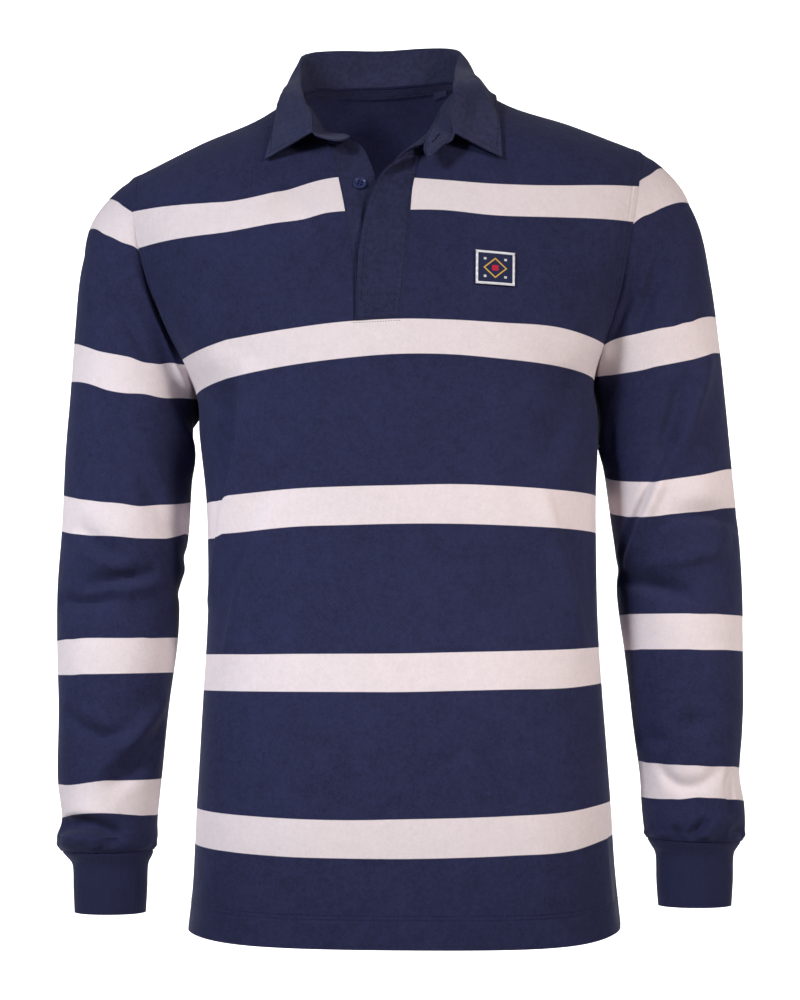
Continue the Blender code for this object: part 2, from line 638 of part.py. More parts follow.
def make_cloth():
    jersey = material("navy_jersey", NAVY, 0.9)
    rib = material("navy_rib", NAVY, 0.92)
    twill = material("navy_twill", COLLAR_NAVY, 0.85)
    under = placket("right", UNDER_PLACKET_EDGE)
    top = placket("left", TOP_PLACKET_EDGE)[:, ::-1]
    sleeves = {side: tube(SLEEVE[side], SLEEVE_RINGS, armhole_loop(side), SLEEVE_FOLDS[side])
               for side in SLEEVE}
    cuffs = {side: tube(CUFF[side], CUFF_RINGS) for side in CUFF}
    for tubes in (sleeves, cuffs):
        tubes["right"] = tubes["right"][:, ::-1]
    pieces = [
        ("front", front_patches(), JERSEY, jersey),
        ("back", back_patches(), JERSEY, jersey),
        ("sleeve_right", [sleeves["right"]], JERSEY, jersey),
        ("sleeve_left", [sleeves["left"]], JERSEY, jersey),
        ("cuff_right", [cuffs["right"]], RIB, rib),
        ("cuff_left", [cuffs["left"]], RIB, rib),
        ("placket_under", [under], TWILL, twill),
        ("placket_top", [top], TWILL, twill)]
    points, faces = welded([grid for piece in pieces for grid in piece[1]])
    normals = point_normals(points, np.vstack(faces))
    taken = 0
    for name, grids, thickness, finish in pieces:
        quads = np.vstack(faces[taken:taken + len(grids)])
        taken += len(grids)
        aside = {"sleeve_right": -2 * SEAM_GAP, "sleeve_left": 2 * SEAM_GAP}.get(name, 0.0)
        wall(name, points, normals, quads, thickness, finish, aside)

    stand, leaf = collar_grids(under, top[:, ::-1])
    points, faces = welded([stand, leaf])
    normals = point_normals(points, np.vstack(faces))
    wall("collar_stand", points, normals, faces[0], TWILL, twill)
    wall("collar_leaf", points, normals, faces[1], TWILL, twill)
    return under, stand


def make_trim():
    """What is sewn onto the panels: the badge outside, the neck tape and label inside the back."""
    twill = material("navy_twill", COLLAR_NAVY, 0.85)
    corners = np.array(BADGE_CORNERS, float)
    u, v = np.meshgrid(even(BADGE_CELLS), even(BADGE_CELLS))
    flat = (corners[0] * ((1 - u) * (1 - v))[..., None] + corners[1] * (u * (1 - v))[..., None]
            + corners[2] * (u * v)[..., None] + corners[3] * ((1 - u) * v)[..., None])
    badge = laid_on(flat[..., 0], flat[..., 1], -1, PANEL_GAP + BADGE)
    backed_patch("badge", badge, BADGE, material("badge_white", BADGE_WHITE, 0.8))

    drops = np.linspace(NECK_TURNING + TAPE_WIDTH, NECK_TURNING, 3)
    tape = hung_inside(back_patches()[2], TAPE_COLUMNS, drops)
    backed_patch("neck_tape", tape, TAPE, twill)
    drops = drops[0] + SEAM_GAP + np.linspace(LABEL_LENGTH, 0, 3)
    label = hung_inside(back_patches()[2], LABEL_COLUMNS, drops)
    backed_patch("size_label", label, TAPE, material("label_tape", COLLAR_NAVY, 0.7))


def button(name, face_centre, facing):
    """A round four-hole button whose back rests on the cloth."""
    centre = np.asarray(face_centre) + unit(facing) * (SEAM_GAP + BUTTON_THICKNESS / 2)
    bpy.ops.mesh.primitive_cylinder_add(
        vertices=24, radius=BUTTON_RADIUS * MM, depth=BUTTON_THICKNESS * MM, location=centre * MM)
    made = bpy.context.object
    made.name = name
    made.data.name = name
    z_axis = unit(np.asarray(facing))
    tilt = math.acos(z_axis[2])
    made.rotation_euler = (0, tilt, math.atan2(z_axis[1], z_axis[0]))
    bevel = made.modifiers.new("rounded rim", "BEVEL")
    bevel.width = BUTTON_EDGE * MM
    bevel.segments = 2
    made.data.materials.append(material("navy_plastic", BUTTON_NAVY, 0.35))
    for collection in made.users_collection:
        collection.objects.unlink(made)
    SHIRT.objects.link(made)


def surface_at(grid, row, column, behind=0.0):
    """A point of a grid and the direction its cloth faces there, or the same on its other side."""
    rows, columns = grid.shape[:2]
    i, j = min(int(row), rows - 2), min(int(column), columns - 2)
    s, t = row - i, column - j
    a, b, c, d = grid[i, j], grid[i, j + 1], grid[i + 1, j + 1], grid[i + 1, j]
    spot = a * (1 - s) * (1 - t) + b * (1 - s) * t + c * s * t + d * s * (1 - t)
    facing = unit(np.cross(c - a, d - b))
    return (spot - facing * behind, -facing) if behind else (spot, facing)


for old in list(bpy.data.objects):
    bpy.data.objects.remove(old)
SHIRT = bpy.data.collections.new("polo_shirt")
bpy.context.scene.collection.children.link(SHIRT)
UNDER, STAND = make_cloth()
make_trim()
button("button_placket", *surface_at(UNDER, *BUTTON_SPOTS["button_placket"]))
button("button_collar", *surface_at(STAND, *BUTTON_SPOTS["button_collar"], behind=TWILL + SEAM_GAP))
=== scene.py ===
"""Long-sleeved polo shirt of heavy striped jersey, filled out as it hangs on a wearer, collar open.

Frame: +X is the wearer's left, the front faces -Y and +Z is up; the origin is the middle of the base of
the neck. The cut is drawn in millimetres: "across" runs from the centre line to the wearer's left and
"height" runs up the spine.
"""
import math

import bpy
import numpy as np
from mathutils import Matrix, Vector
from mathutils.bvhtree import BVHTree


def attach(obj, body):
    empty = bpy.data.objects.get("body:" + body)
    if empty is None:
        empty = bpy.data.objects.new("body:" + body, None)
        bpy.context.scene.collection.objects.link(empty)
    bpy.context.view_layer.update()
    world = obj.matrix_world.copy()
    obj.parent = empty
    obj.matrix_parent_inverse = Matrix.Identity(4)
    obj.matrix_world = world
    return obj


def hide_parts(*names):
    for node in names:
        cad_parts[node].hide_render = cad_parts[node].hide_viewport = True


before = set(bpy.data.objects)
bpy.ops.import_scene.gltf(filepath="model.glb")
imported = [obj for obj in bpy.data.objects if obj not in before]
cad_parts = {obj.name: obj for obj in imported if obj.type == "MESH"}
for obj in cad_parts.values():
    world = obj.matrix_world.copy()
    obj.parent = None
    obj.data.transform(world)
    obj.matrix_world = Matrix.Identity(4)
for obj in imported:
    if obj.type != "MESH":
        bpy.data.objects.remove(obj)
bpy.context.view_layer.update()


# ---- Front -------------------------------------------------------------------------------------------
# One panel of heavy navy cotton jersey with knitted-in pale pink stripes, cut with a slit for the
# placket, sewn to the back along the shoulders and sides and hemmed with a twin needle.

MM = 0.001
JERSEY = 1.4                                    # thickness of the cloth
HEM, UNDERARM, SHOULDER_TIP, SLIT_FOOT = -727.0, -250.0, -51.0, -204.0
HEM_RISE_RIGHT, HEM_RISE_LEFT, HEM_CURVE = 5.0, 9.0, 7
NECK_SIDE, NECK_POINT = 79.0, 16.5
SHOULDER_ROLL = 60.0                            # the front rolls over into the back from here up
ROUNDNESS = 2.5                                 # of the body's plan, where 2 is an ellipse
LEAN, TURN = 0.040, 0.06                        # the figure dips to its right and turns a little
SIDE_ROWS, ARMHOLE_ROWS, PANEL_COLUMNS = 124, 66, 52
SLIT_ROWS, PLACKET_COLUMNS = 36, 12
NECK_ROWS = ARMHOLE_ROWS - SLIT_ROWS
SHOULDER_SPACING = 2.2


class Table:
    """Rows of named columns, read smoothly at any value of the first column."""

    def __init__(self, columns, *rows):
        self.columns = columns.split()
        self.rows = np.array(sorted(rows), float)
        spans = np.diff(self.rows[:, :1], axis=0)
        slopes = np.diff(self.rows, axis=0) / spans
        inner = (slopes[:-1] * spans[1:] + slopes[1:] * spans[:-1]) / (spans[:-1] + spans[1:])
        self.slopes = np.vstack([slopes[:1], inner, slopes[-1:]])

    def read(self, column, key):
        keys = self.rows[:, 0]
        key = np.clip(key, keys[0], keys[-1])
        i = np.clip(np.searchsorted(keys, key) - 1, 0, len(keys) - 2)
        k = self.columns.index(column)
        span = keys[i + 1] - keys[i]
        t = (key - keys[i]) / span
        start, end = self.rows[i, k], self.rows[i + 1, k]
        leave, arrive = self.slopes[i, k] * span, self.slopes[i + 1, k] * span
        return (start + t * leave + t**2 * (3 * (end - start) - 2 * leave - arrive)
                + t**3 * (2 * (start - end) + leave + arrive))

    def point(self, columns, key):
        return np.stack([self.read(column, key) for column in columns.split()], axis=-1)


BODY = Table(
    "height spine lean half_width front back",
    (HEM, 18.0, 0.0, 188.5, 125, 113),
    (-682, 18.2, 0.0, 184.0, 122, 110),
    (-615, 17.6, 0.0, 180.5, 120, 107),
    (-515, 16.8, 0.0, 174.0, 116, 101),
    (-430, 16.5, 0.0, 170.2, 115, 96),
    (-350, 15.5, 0.015, 171.0, 121, 96),
    (-285, 13.2, 0.034, 175.0, 126, 100),
    (UNDERARM, 10.4, LEAN, 175.0, 128, 102),
    (-225, 9.4, LEAN, 187.0, 129, 104),
    (-190, 8.0, LEAN, 206.0, 128, 107),
    (-150, 6.3, LEAN, 224.0, 124, 108),
    (-100, 4.0, LEAN, 237.0, 114, 106),
    (-50, 2.0, LEAN, 242.0, 96, 100),
    (-25, 1.2, LEAN, 243.0, 80, 95),
    (0, 0.8, LEAN, 243.0, 62, 88),
    (40, 0.0, LEAN, 243.0, 45, 78))
SHOULDER = Table(
    "across height",
    (-40, 53), (0, 60), (40, 52), (60, 35.5), (NECK_SIDE, NECK_POINT), (100, 1.5), (165, -25.5),
    (225, SHOULDER_TIP))
ARMHOLE = Table(
    "height left right",
    (UNDERARM, 175.0, 175.0),
    (-225, 181.0, 181.5),
    (-205, 188.5, 191.5),
    (-180, 196.5, 203.5),
    (-145, 204.5, 213.0),
    (-120, 210.5, 218.0),
    (-85, 218.0, 222.0),
    (SHOULDER_TIP, 225.0, 225.0))
SLIT_EDGE = {
    "right": [(-32, SLIT_FOOT), (-32, -150), (-37, -100), (-43, -66), (-50.4, -39)],
    "left": [(6, SLIT_FOOT), (15, -148), (19, -114), (24, -83), (34, -58), (44.5, -31)]}
FRONT_NECK = {
    "right": [(-50.4, -39), (-57, -25), (-64.5, -11), (-72, -2), (-77.5, 7), (-NECK_SIDE, NECK_POINT)],
    "left": [(44.5, -31), (50, -18), (57.5, -8), (67, 1), (75.5, 9), (NECK_SIDE, NECK_POINT)]}
HEM_MIDDLE = {"right": -22.0, "left": 22.0}

# heights of the upper and lower edge of each stripe, across the front
STRIPE_EDGES = "upper_1 lower_1 upper_2 lower_2 upper_3 lower_3 upper_4 lower_4 upper_5 lower_5"
STRIPES = Table(
    "across " + STRIPE_EDGES,
    (-220, -90, -123, -226, -256, -350, -382, -484, -515, -616, -647),
    (-180, -92, -121.5, -220, -251, -349.5, -381.5, -484, -515, -617, -648),
    (-152, -93.4, -121.2, -214.4, -245.6, -349.3, -382.2, -484, -515, -618.5, -649.8),
    (-149, -93.5, -121.2, -213.8, -245.1, -349.2, -381.8, -484, -515, -618.6, -649.9),
    (-146, -93.7, -121.1, -213.2, -244.6, -349, -379.8, -484, -515, -618.8, -650.1),
    (-143, -93.8, -121, -212.6, -244, -348.6, -379.6, -484, -515, -618.9, -650.3),
    (-140, -94, -121, -212, -243.5, -346.4, -379.5, -484, -515, -619, -650.5),
    (-137, -94, -120.8, -211.8, -243.2, -346.2, -379.3, -484, -515, -619.1, -650.6),
    (-90, -88, -115.5, -208, -238.5, -343.5, -376, -483.5, -515, -620.5, -652),
    (-45, -79.5, -110, -205, -235.5, -343, -375.5, -483.3, -515, -621, -652.5),
    (0, -81, -111, -204.5, -234, -343, -375, -483, -515, -620, -652.5),
    (45, -86, -113, -207, -236, -343, -375.5, -482, -514, -619, -651.5),
    (90, -91.5, -119.5, -211, -241, -345, -377, -481, -513, -617.5, -650),
    (140, -94, -122, -215, -247, -348, -379, -479.5, -512, -615, -647.5),
    (180, -93, -122.5, -224, -254, -350, -381, -477, -508, -609.5, -639),
    (220, -91, -123, -230, -260, -351, -382, -476, -507, -608, -638))

# creases: how far the cloth stands out, the breadth of its two flanks (the first on the wearer's right
# of a crease that runs down), then the points it runs through, across and height
CREASE_STEPS = 9
FRONT_CREASES = [
    (12, 4, 18, -125, -228, -129, -280, -139, -330, -150, -380, -168, -445),
    (-7, 12, 5, -139, -250, -143, -310, -153, -360),
    (-2.2, 2.5, 2.5, -163, -315, -161, -349, -161, -388),
    (6, 5, 15, -106, -345, -118, -382, -129, -410, -154, -500),
    (6, 15, 5, 116, -335, 130, -383, 143, -430, 158, -495),
    (-5.5, 16, 16, 150, -245, 140, -290, 120, -330),
    (-5.5, 14, 14, -95, -90, -60, -120),
    (-2.7, 3, 4, 176, -625, 181, -670, 185, -722),
    (4.5, 14, 18, -188, -170, -160, -215, -132, -262),
    (3.5, 14, 16, 178, -190, 160, -225, 146, -262),
    (2.9, 30, 22, -60, -560, -90, -640, -95, -720),
    (2.5, 24, 30, 96, -560, 120, -650, 118, -720)]


def ramp(value, width, low=0):
    """Rises from low to 1 over this width."""
    return np.clip(value / width, low, 1)


def hump(value, width, power=2):
    """1 where the value is 0, falling away over this width."""
    return np.exp(-(value / width) ** power)


def hem_height(across):
    """The hem's edge climbs a little into each side seam."""
    rise = np.where(across < 0, HEM_RISE_RIGHT, HEM_RISE_LEFT)
    return HEM + rise * ramp(np.abs(across), BODY.read("half_width", HEM)) ** HEM_CURVE


def even(cells):
    return np.linspace(0, 1, cells + 1)


def closer_at_start(cells):
    return 1 - np.cos(even(cells) * math.pi / 2)


def closer_at_ends(cells):
    return (1 - np.cos(even(cells) * math.pi)) / 2


def closer_at_shoulder(cells):
    return 1 - (1 - even(cells)) ** SHOULDER_SPACING


def arc_length(grid, axis=0):
    """How far along its rows or columns each point of a grid or line lies."""
    steps = np.linalg.norm(np.diff(grid[..., :3], axis=axis), axis=-1)
    start = np.zeros_like(np.take(steps, [0], axis=axis))
    return np.cumsum(np.concatenate([start, steps], axis=axis), axis=axis)


def point_at(line, run, distance):
    """The point of a line at this distance along it, where run is its arc length."""
    return np.stack([np.interp(distance, run, values) for values in line.T], axis=-1)


def curve_through(points, shares, measured=3):
    """A smooth curve through the points, read at these shares of its length in its first columns."""
    points = np.array(points, float)
    run = arc_length(points[:, :measured])
    names = " ".join("abcde"[:points.shape[1]])
    return Table("share " + names, *np.column_stack([run / run[-1], points]).tolist()).point(names, shares)


def creased(u, v, creases):
    """How far these creases lift the cloth at each point."""
    lift = np.zeros(np.broadcast(u, v).shape)
    for height, first_flank, second_flank, *way in creases:
        way = curve_through(np.reshape(way, (-1, 2)), even(CREASE_STEPS))
        (u0, v0), (du, dv) = way[:-1].T[..., None, None], np.diff(way, axis=0).T[..., None, None]
        along = np.clip(((u - u0) * du + (v - v0) * dv) / (du**2 + dv**2), 0, 1)
        off_u, off_v = u - u0 - along * du, v - v0 - along * dv
        distance = np.hypot(off_u, off_v)
        nearest = distance.argmin(axis=0)[None]
        distance, beside, along = (
            np.take_along_axis(values, nearest, 0)[0]
            for values in (distance, off_u * dv - off_v * du, along + np.arange(CREASE_STEPS)[:, None, None]))
        flank = np.where(beside > 0, first_flank, second_flank)
        lift += height * np.sin(math.pi * ramp(along, CREASE_STEPS)) ** 0.8 * hump(distance, flank)
    return lift


def body_point(across, height, face, out=0.0):
    """A point of the body's cloth: face is -1 on the front and 1 on the back."""
    across, height = np.broadcast_arrays(np.asarray(across, float), np.asarray(height, float))
    spread = ramp(np.abs(across), BODY.read("half_width", height))
    rounded = (1 - spread**ROUNDNESS) ** (1 / ROUNDNESS)
    below = ramp(SHOULDER.read("height", np.abs(across)) - height, SHOULDER_ROLL)
    depth = BODY.read("front" if face < 0 else "back", height) * np.sqrt(1 - (1 - below) ** 2)
    x = BODY.read("spine", height) + across
    y = face * (depth * rounded + out * np.minimum(1, 2 * rounded)) - TURN * across
    return np.stack([x, y, height + BODY.read("lean", height) * across], axis=-1)


def side_and_armhole(side):
    """The outer edge of the front and back, from the hem up to the shoulder tip."""
    sign = 1 if side == "left" else -1
    low = HEM + (UNDERARM - HEM) * even(SIDE_ROWS)
    high = UNDERARM + (SHOULDER_TIP - UNDERARM) * closer_at_ends(ARMHOLE_ROWS)
    seam = np.column_stack([sign * BODY.read("half_width", low), low])
    armhole = np.column_stack([sign * ARMHOLE.read(side, high), high])
    return np.vstack([seam, armhole[1:]])


def armhole_share(rows):
    """For each row of a panel, 0 up to the underarm, easing up to 1 at the shoulder."""
    return ramp(np.arange(rows) - SIDE_ROWS, ARMHOLE_ROWS)[:, None] ** 3


def ruled(outer, inner):
    """A grid between two edges, closer together at the outer one, whose top row is the shoulder seam."""
    share = closer_at_start(PANEL_COLUMNS)[None, :, None]
    grid = outer[:, None] * (1 - share) + inner[:, None] * share
    top = SHOULDER.read("height", np.abs(grid[-1, :, 0])) - grid[-1, :, 1]
    grid[:, :, 1] += armhole_share(len(grid)) * top
    fall = (1 - ramp(np.arange(len(grid)), SIDE_ROWS))[:, None] ** 2
    grid[:, :, 1] += fall * (hem_height(grid[0, :, 0]) - HEM)
    return grid


def off_stripe(place, edges):
    """How far each place is from the middle of the nearest stripe, 1 at the stripe's edges."""
    upper, lower = edges[..., ::2], edges[..., 1::2]
    return np.min(np.abs((place[..., None] - (upper + lower) / 2) * 2 / (upper - lower)), axis=-1)


def with_marks(points, lift, *marks):
    """A patch: the points, how far each is lifted, and the values that its material reads."""
    return np.concatenate([points[..., :3], np.stack([lift, *marks], axis=-1)], axis=-1)


JERSEY_MARKS = ("stripe", "from_hem", "from_armhole", "wale", "course")
SEAM_ROLL, SEAM_ROLL_WIDTH = 0.15, 1.2          # cloth turns in at a seam this deep and this broad
WELT, WELT_WIDTH = 0.4, 7.0                     # the topstitched allowance stands up along the armhole
BACK_STRIPES_FROM = 180                         # the back's stripes are straight inside this
NEAR, FAR = 20.0, 500.0                         # FAR stands for no edge near
SEAM_FADE, EDGE_FADE, HEM_FADE = 25, 8, 30      # creases ease in over this from a seam, edge and hem
RIPPLE, SLEEVE_RIPPLE = 0.35, 0.4               # height of the slow ripples all over the cloth
WALES, SLEEVE_WALES = 1.12, 1.05                # how much closer the knit's columns lie than drawn


def panel_patch(flat, face, creases, outer_edge=True):
    """A patch of the front or back from its (across, height) points."""
    across, height = flat[..., 0], flat[..., 1]
    points = body_point(across, height, face)
    edges = STRIPES.point(STRIPE_EDGES, across)
    if face > 0:
        share = ramp(across + BACK_STRIPES_FROM, 2 * BACK_STRIPES_FROM)[..., None]
        right, left = (STRIPES.point(STRIPE_EDGES, sign * BACK_STRIPES_FROM) for sign in (-1, 1))
        inside = np.abs(across)[..., None] < BACK_STRIPES_FROM
        edges = np.where(inside, right * (1 - share) + left * share, edges)
    from_edge = arc_length(points, 1) if outer_edge else np.full(across.shape, FAR)
    rows = np.arange(len(flat))[:, None]
    by_armhole = ramp(rows - SIDE_ROWS, 3) * np.ones(across.shape)
    lift = creased(across, height, creases) * ramp(from_edge, SEAM_FADE, 0.15)
    lift = lift + RIPPLE * np.sin(across / 31 + height / 47) * np.sin(height / 39 - across / 83)
    lift = lift * ramp(from_edge, EDGE_FADE) * ramp(height - HEM, HEM_FADE, 0.3)
    lift = lift - SEAM_ROLL * hump(from_edge, SEAM_ROLL_WIDTH)
    lift = lift + by_armhole * WELT * hump(np.maximum(from_edge - 1, 0), WELT_WIDTH, 4)
    from_top = SHOULDER.read("height", np.abs(across)) - height
    lift = lift - SEAM_ROLL * hump(from_top, SEAM_ROLL_WIDTH) * (rows > SIDE_ROWS)
    from_armhole = np.where(by_armhole > 0.99, from_edge, FAR - (FAR - NEAR) * by_armhole)
    return with_marks(points, lift, off_stripe(height, edges), height - hem_height(across), from_armhole,
                      across * WALES, height)


def front_inner_edge(side):
    foot = np.array(SLIT_EDGE[side][0], float)
    low = np.linspace((HEM_MIDDLE[side], HEM), foot, SIDE_ROWS + 1)
    slit = curve_through(SLIT_EDGE[side], even(SLIT_ROWS))
    neck = curve_through(FRONT_NECK[side], closer_at_shoulder(NECK_ROWS))
    return np.vstack([low, slit[1:], neck[1:]])


def front_patches():
    flats = [ruled(side_and_armhole(side), front_inner_edge(side)) for side in SLIT_EDGE]
    share = even(PLACKET_COLUMNS)[None, :, None]
    low = [flat[:SIDE_ROWS + 1, -1:] for flat in flats]
    middle = low[0] * (1 - share) + low[1] * share
    right, left = (panel_patch(flat, -1, FRONT_CREASES) for flat in flats)
    return [right, left[:, ::-1], panel_patch(middle, -1, FRONT_CREASES, outer_edge=False)]


def unit(vectors):
    return vectors / np.maximum(np.linalg.norm(vectors, axis=-1, keepdims=True), 1e-12)


def welded(grids):
    """The points of all grids, each place once, with the faces of each grid as quads of them."""
    points = np.vstack([grid.reshape(-1, grid.shape[-1]) for grid in grids])
    _, first, places = np.unique(np.round(points[:, :3], 2), axis=0, return_index=True, return_inverse=True)
    places = places.reshape(-1)
    faces, start = [], 0
    for grid in grids:
        rows, columns = grid.shape[:2]
        number = places[start:start + rows * columns].reshape(rows, columns)
        quads = np.stack([number[:-1, :-1], number[:-1, 1:], number[1:, 1:], number[1:, :-1]], axis=-1)
        faces.append(quads.reshape(-1, 4))
        start += rows * columns
    return points[first], faces


def point_normals(points, quads):
    corners = points[quads]
    facing = unit(np.cross(corners[:, 2] - corners[:, 0], corners[:, 3] - corners[:, 1]))
    normals = np.zeros_like(points)
    for corner in range(4):
        np.add.at(normals, quads[:, corner], facing)
    return unit(normals)


def rim_edges(quads):
    """The directed edges that only one quad uses."""
    edges = {(quad[i], quad[(i + 1) % 4]) for quad in quads.tolist() for i in range(4)}
    return [(a, b) for a, b in sorted(edges) if (b, a) not in edges]


SEAM_SLACK = -0.12                              # pieces run this far into a seam
SURFACES = {}                                   # the outer surface of each piece, for what is sewn to it


def linked(made):
    bpy.context.scene.collection.objects.link(made)
    return made


def add_piece(name, points, faces, finish, replaces=(), marks=()):
    """A mesh in the frame, riding on the body."""
    mesh = bpy.data.meshes.new(name)
    mesh.from_pydata((np.asarray(points) * MM).tolist(), [], faces)
    for mark, values in marks:
        layer = mesh.attributes.new(mark, "FLOAT", "POINT")
        layer.data.foreach_set("value", np.asarray(values, np.float32))
    mesh.validate()
    mesh.shade_smooth()
    mesh.set_sharp_from_angle(angle=math.radians(50))
    mesh.materials.append(finish)
    made = linked(bpy.data.objects.new(name, mesh))
    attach(made, "root")
    if replaces:
        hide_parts(*replaces)
    return made


def cloth(name, patches, thickness, finish, node, marks=(), bulge=0.15):
    """A closed wall of cloth on these patches, its free edge slightly rounded."""
    points, faces = welded(patches)
    quads = np.vstack(faces)
    place = points[:, :3] + point_normals(points[:, :3], quads) * points[:, 3:4]
    normals = point_normals(place, quads)
    rim = rim_edges(quads)
    inward = {}
    for a, b in rim:
        direction = unit(np.cross(normals[a] + normals[b], place[b] - place[a]))
        for end in (a, b):
            inward.setdefault(end, []).append(direction)
    used = sorted(inward)
    pull = np.zeros_like(place)
    for point, directions in inward.items():
        total = np.sum(directions, axis=0)
        pull[point] = len(directions) * total / max(total @ total, 1.0)
    outer = place + pull * (SEAM_SLACK + bulge * thickness)
    inner = outer - normals * thickness
    middle = (outer + inner) / 2 - pull * bulge * thickness
    count, number = len(place), {point: 2 * len(place) + i for i, point in enumerate(used)}
    every = quads.tolist() + (quads[:, ::-1] + count).tolist()
    for a, b in rim:
        every += [[b, a, number[a], number[b]], [number[b], number[a], a + count, b + count]]
    values = np.vstack([points[:, 4:], points[:, 4:], points[used, 4:]])
    SURFACES[name] = (outer, quads)
    return add_piece(name, np.vstack([outer, inner, middle[used]]), every, finish, (node,),
                     zip(marks, values.T))


class Shade:
    """A shader socket that adds its own nodes when Python's operators are used on it."""

    def __init__(self, tree, socket=None):
        self.tree, self.socket = tree, socket

    def node(self, kind, inputs=(), output=0, **settings):
        made = self.tree.nodes.new(kind)
        for name, value in settings.items():
            setattr(made, name, value)
        for key, value in dict(inputs).items():
            if isinstance(value, Shade):
                self.tree.links.new(value.socket, made.inputs[key])
            else:
                made.inputs[key].default_value = value
        return Shade(self.tree, made.outputs[output])

    def maths(self, operation, *values):
        return self.node("ShaderNodeMath", enumerate(values), operation=operation)

    def __add__(self, other):
        return self.maths("ADD", self, other)

    def __sub__(self, other):
        return self.maths("SUBTRACT", self, other)

    def __rsub__(self, other):
        return self.maths("SUBTRACT", other, self)

    def __mul__(self, other):
        return self.maths("MULTIPLY", self, other)

    def __truediv__(self, other):
        return self.maths("DIVIDE", self, other)

    def __abs__(self):
        return self.maths("ABSOLUTE", self)

    __radd__, __rmul__ = __add__, __mul__

    def limited(self):
        return self.maths("MINIMUM", self.maths("MAXIMUM", self, 0.0), 1.0)

    def wave(self, pitch, phase=0.0):
        return self.maths("SINE", self * (2 * math.pi / pitch) + phase)

    def line(self, place, width):
        """1 on the line where this value is place, fading to 0 at width from it."""
        return (1 - abs(self - place) / width).limited()

    def mark(self, name):
        return self.node("ShaderNodeAttribute", {}, "Fac", attribute_name=name)

    def speckle(self, size, detail=2.0):
        """Noise from 0 to 1 with grains of this size, in millimetres."""
        where = self.node("ShaderNodeTexCoord", {}, "Object")
        return self.node("ShaderNodeTexNoise", {"Vector": where, "Scale": 1 / (size * MM), "Detail": detail})

    def mixed(self, share, first, second, blend="MIX"):
        return self.node("ShaderNodeMix", {0: share, 6: first, 7: second}, 2, data_type="RGBA",
                         blend_type=blend)

    def shaded(self, colour, tone, share=1.0):
        """The colour darkened or lightened by this tone."""
        grey = self.node("ShaderNodeCombineColor", {0: tone, 1: tone, 2: tone})
        return self.mixed(share, colour, grey, "MULTIPLY")


def principled(name, **uniform):
    """A new material with these uniform values, its shader and a Shade to start from."""
    made = bpy.data.materials.new(name)
    made.use_nodes = True
    shader = made.node_tree.nodes["Principled BSDF"]
    for socket, value in uniform.items():
        shader.inputs[socket.replace("_", " ")].default_value = value
    return made, shader, Shade(made.node_tree)


def material(name, colour, relief, depth, strength=1.0, **uniform):
    """A material whose colour and relief, this deep in millimetres, come from functions of a Shade."""
    made, shader, start = principled(name, **{"Specular_IOR_Level": 0.15, **uniform})
    height = relief(start)
    bump = start.node("ShaderNodeBump", {"Height": height, "Strength": strength, "Distance": depth * MM})
    start.tree.links.new(colour(start).socket, shader.inputs["Base Color"])
    start.tree.links.new(bump.socket, shader.inputs["Normal"])
    return made


NAVY = (0.0205, 0.0222, 0.066, 1)
PINK = (0.80, 0.69, 0.715, 1)
COOL = (0.75, 0.78, 1.0, 1)                     # tint of the cloth's faint sheen
STRIPE_SOFT = 0.03
HEM_STITCHES, ARMHOLE_STITCH = (23.5, 27.0), 7.0


def jersey_colour(shade):
    """Navy and pink yarn with a faint brushed mottling."""
    pink = ((1 - shade.mark("stripe")) / STRIPE_SOFT + 0.5).limited()
    cloud = shade.speckle(60) * 0.3 + shade.speckle(14, 3.0) * 0.4
    cloud = cloud + shade.speckle(4.5) * 0.55 + shade.speckle(1.5, 3.0) * 0.85 - 0.05
    return shade.mixed(pink, shade.shaded(NAVY, cloud), shade.shaded(PINK, cloud, 0.2))


def jersey_relief(shade):
    """Fine knit, and the furrows that the lines of stitching pull into the cloth."""
    knit = shade.mark("wale").wave(1.1) * 0.5 + shade.mark("course").wave(0.8, 1.0) * 0.25
    furrow = shade.mark("from_armhole").line(ARMHOLE_STITCH, 1.6)
    for stitch in HEM_STITCHES:
        furrow = furrow + shade.mark("from_hem").line(stitch, 1.3)
    soft = shade.speckle(4.0) * 0.7 + shade.speckle(14.0) * 2.4
    return (knit + shade.speckle(0.7)) * 0.35 + soft - furrow * 1.6


jersey = material("striped_jersey", jersey_colour, jersey_relief, 0.25, Roughness=0.88, Sheen_Weight=0.06,
                  Sheen_Tint=COOL)
front = cloth("front_jersey", front_patches(), JERSEY, jersey, "front", JERSEY_MARKS)


# ---- Back --------------------------------------------------------------------------------------------
# The same jersey in one panel, its stripes meeting the front's at the side seams, with soft drape folds
# that run in from under the arms to the small of the back.

BACK_HEM_MIDDLE, BACK_UNDERARM_MIDDLE = 50.0, 71.0
BACK_NECK_COLUMNS = 56
BACK_NECK = Table("across height", (-40, 34), (0, 35), (40, 34), (60, 30), (70, 24), (NECK_SIDE, NECK_POINT))
BACK_CREASES = [
    (10, 8, 18, -158, -235, -128, -310, -92, -410),
    (9, 18, 8, 158, -232, 126, -300, 96, -398),
    (-7, 22, 22, -60, -430, -15, -485, 20, -520),
    (-5.5, 20, 24, 70, -420, 30, -465, -10, -500),
    (5.5, 12, 18, -140, -300, -120, -400, -128, -470),
    (5.5, 16, 12, 145, -330, 120, -420, 132, -500),
    (3.5, 20, 20, -150, -60, -120, -120, -125, -190),
    (3.5, 20, 20, 150, -60, 118, -125, 124, -195),
    (3, 26, 22, -70, -540, -96, -620, -90, -715),
    (3, 22, 28, 80, -560, 100, -640, 96, -715)]


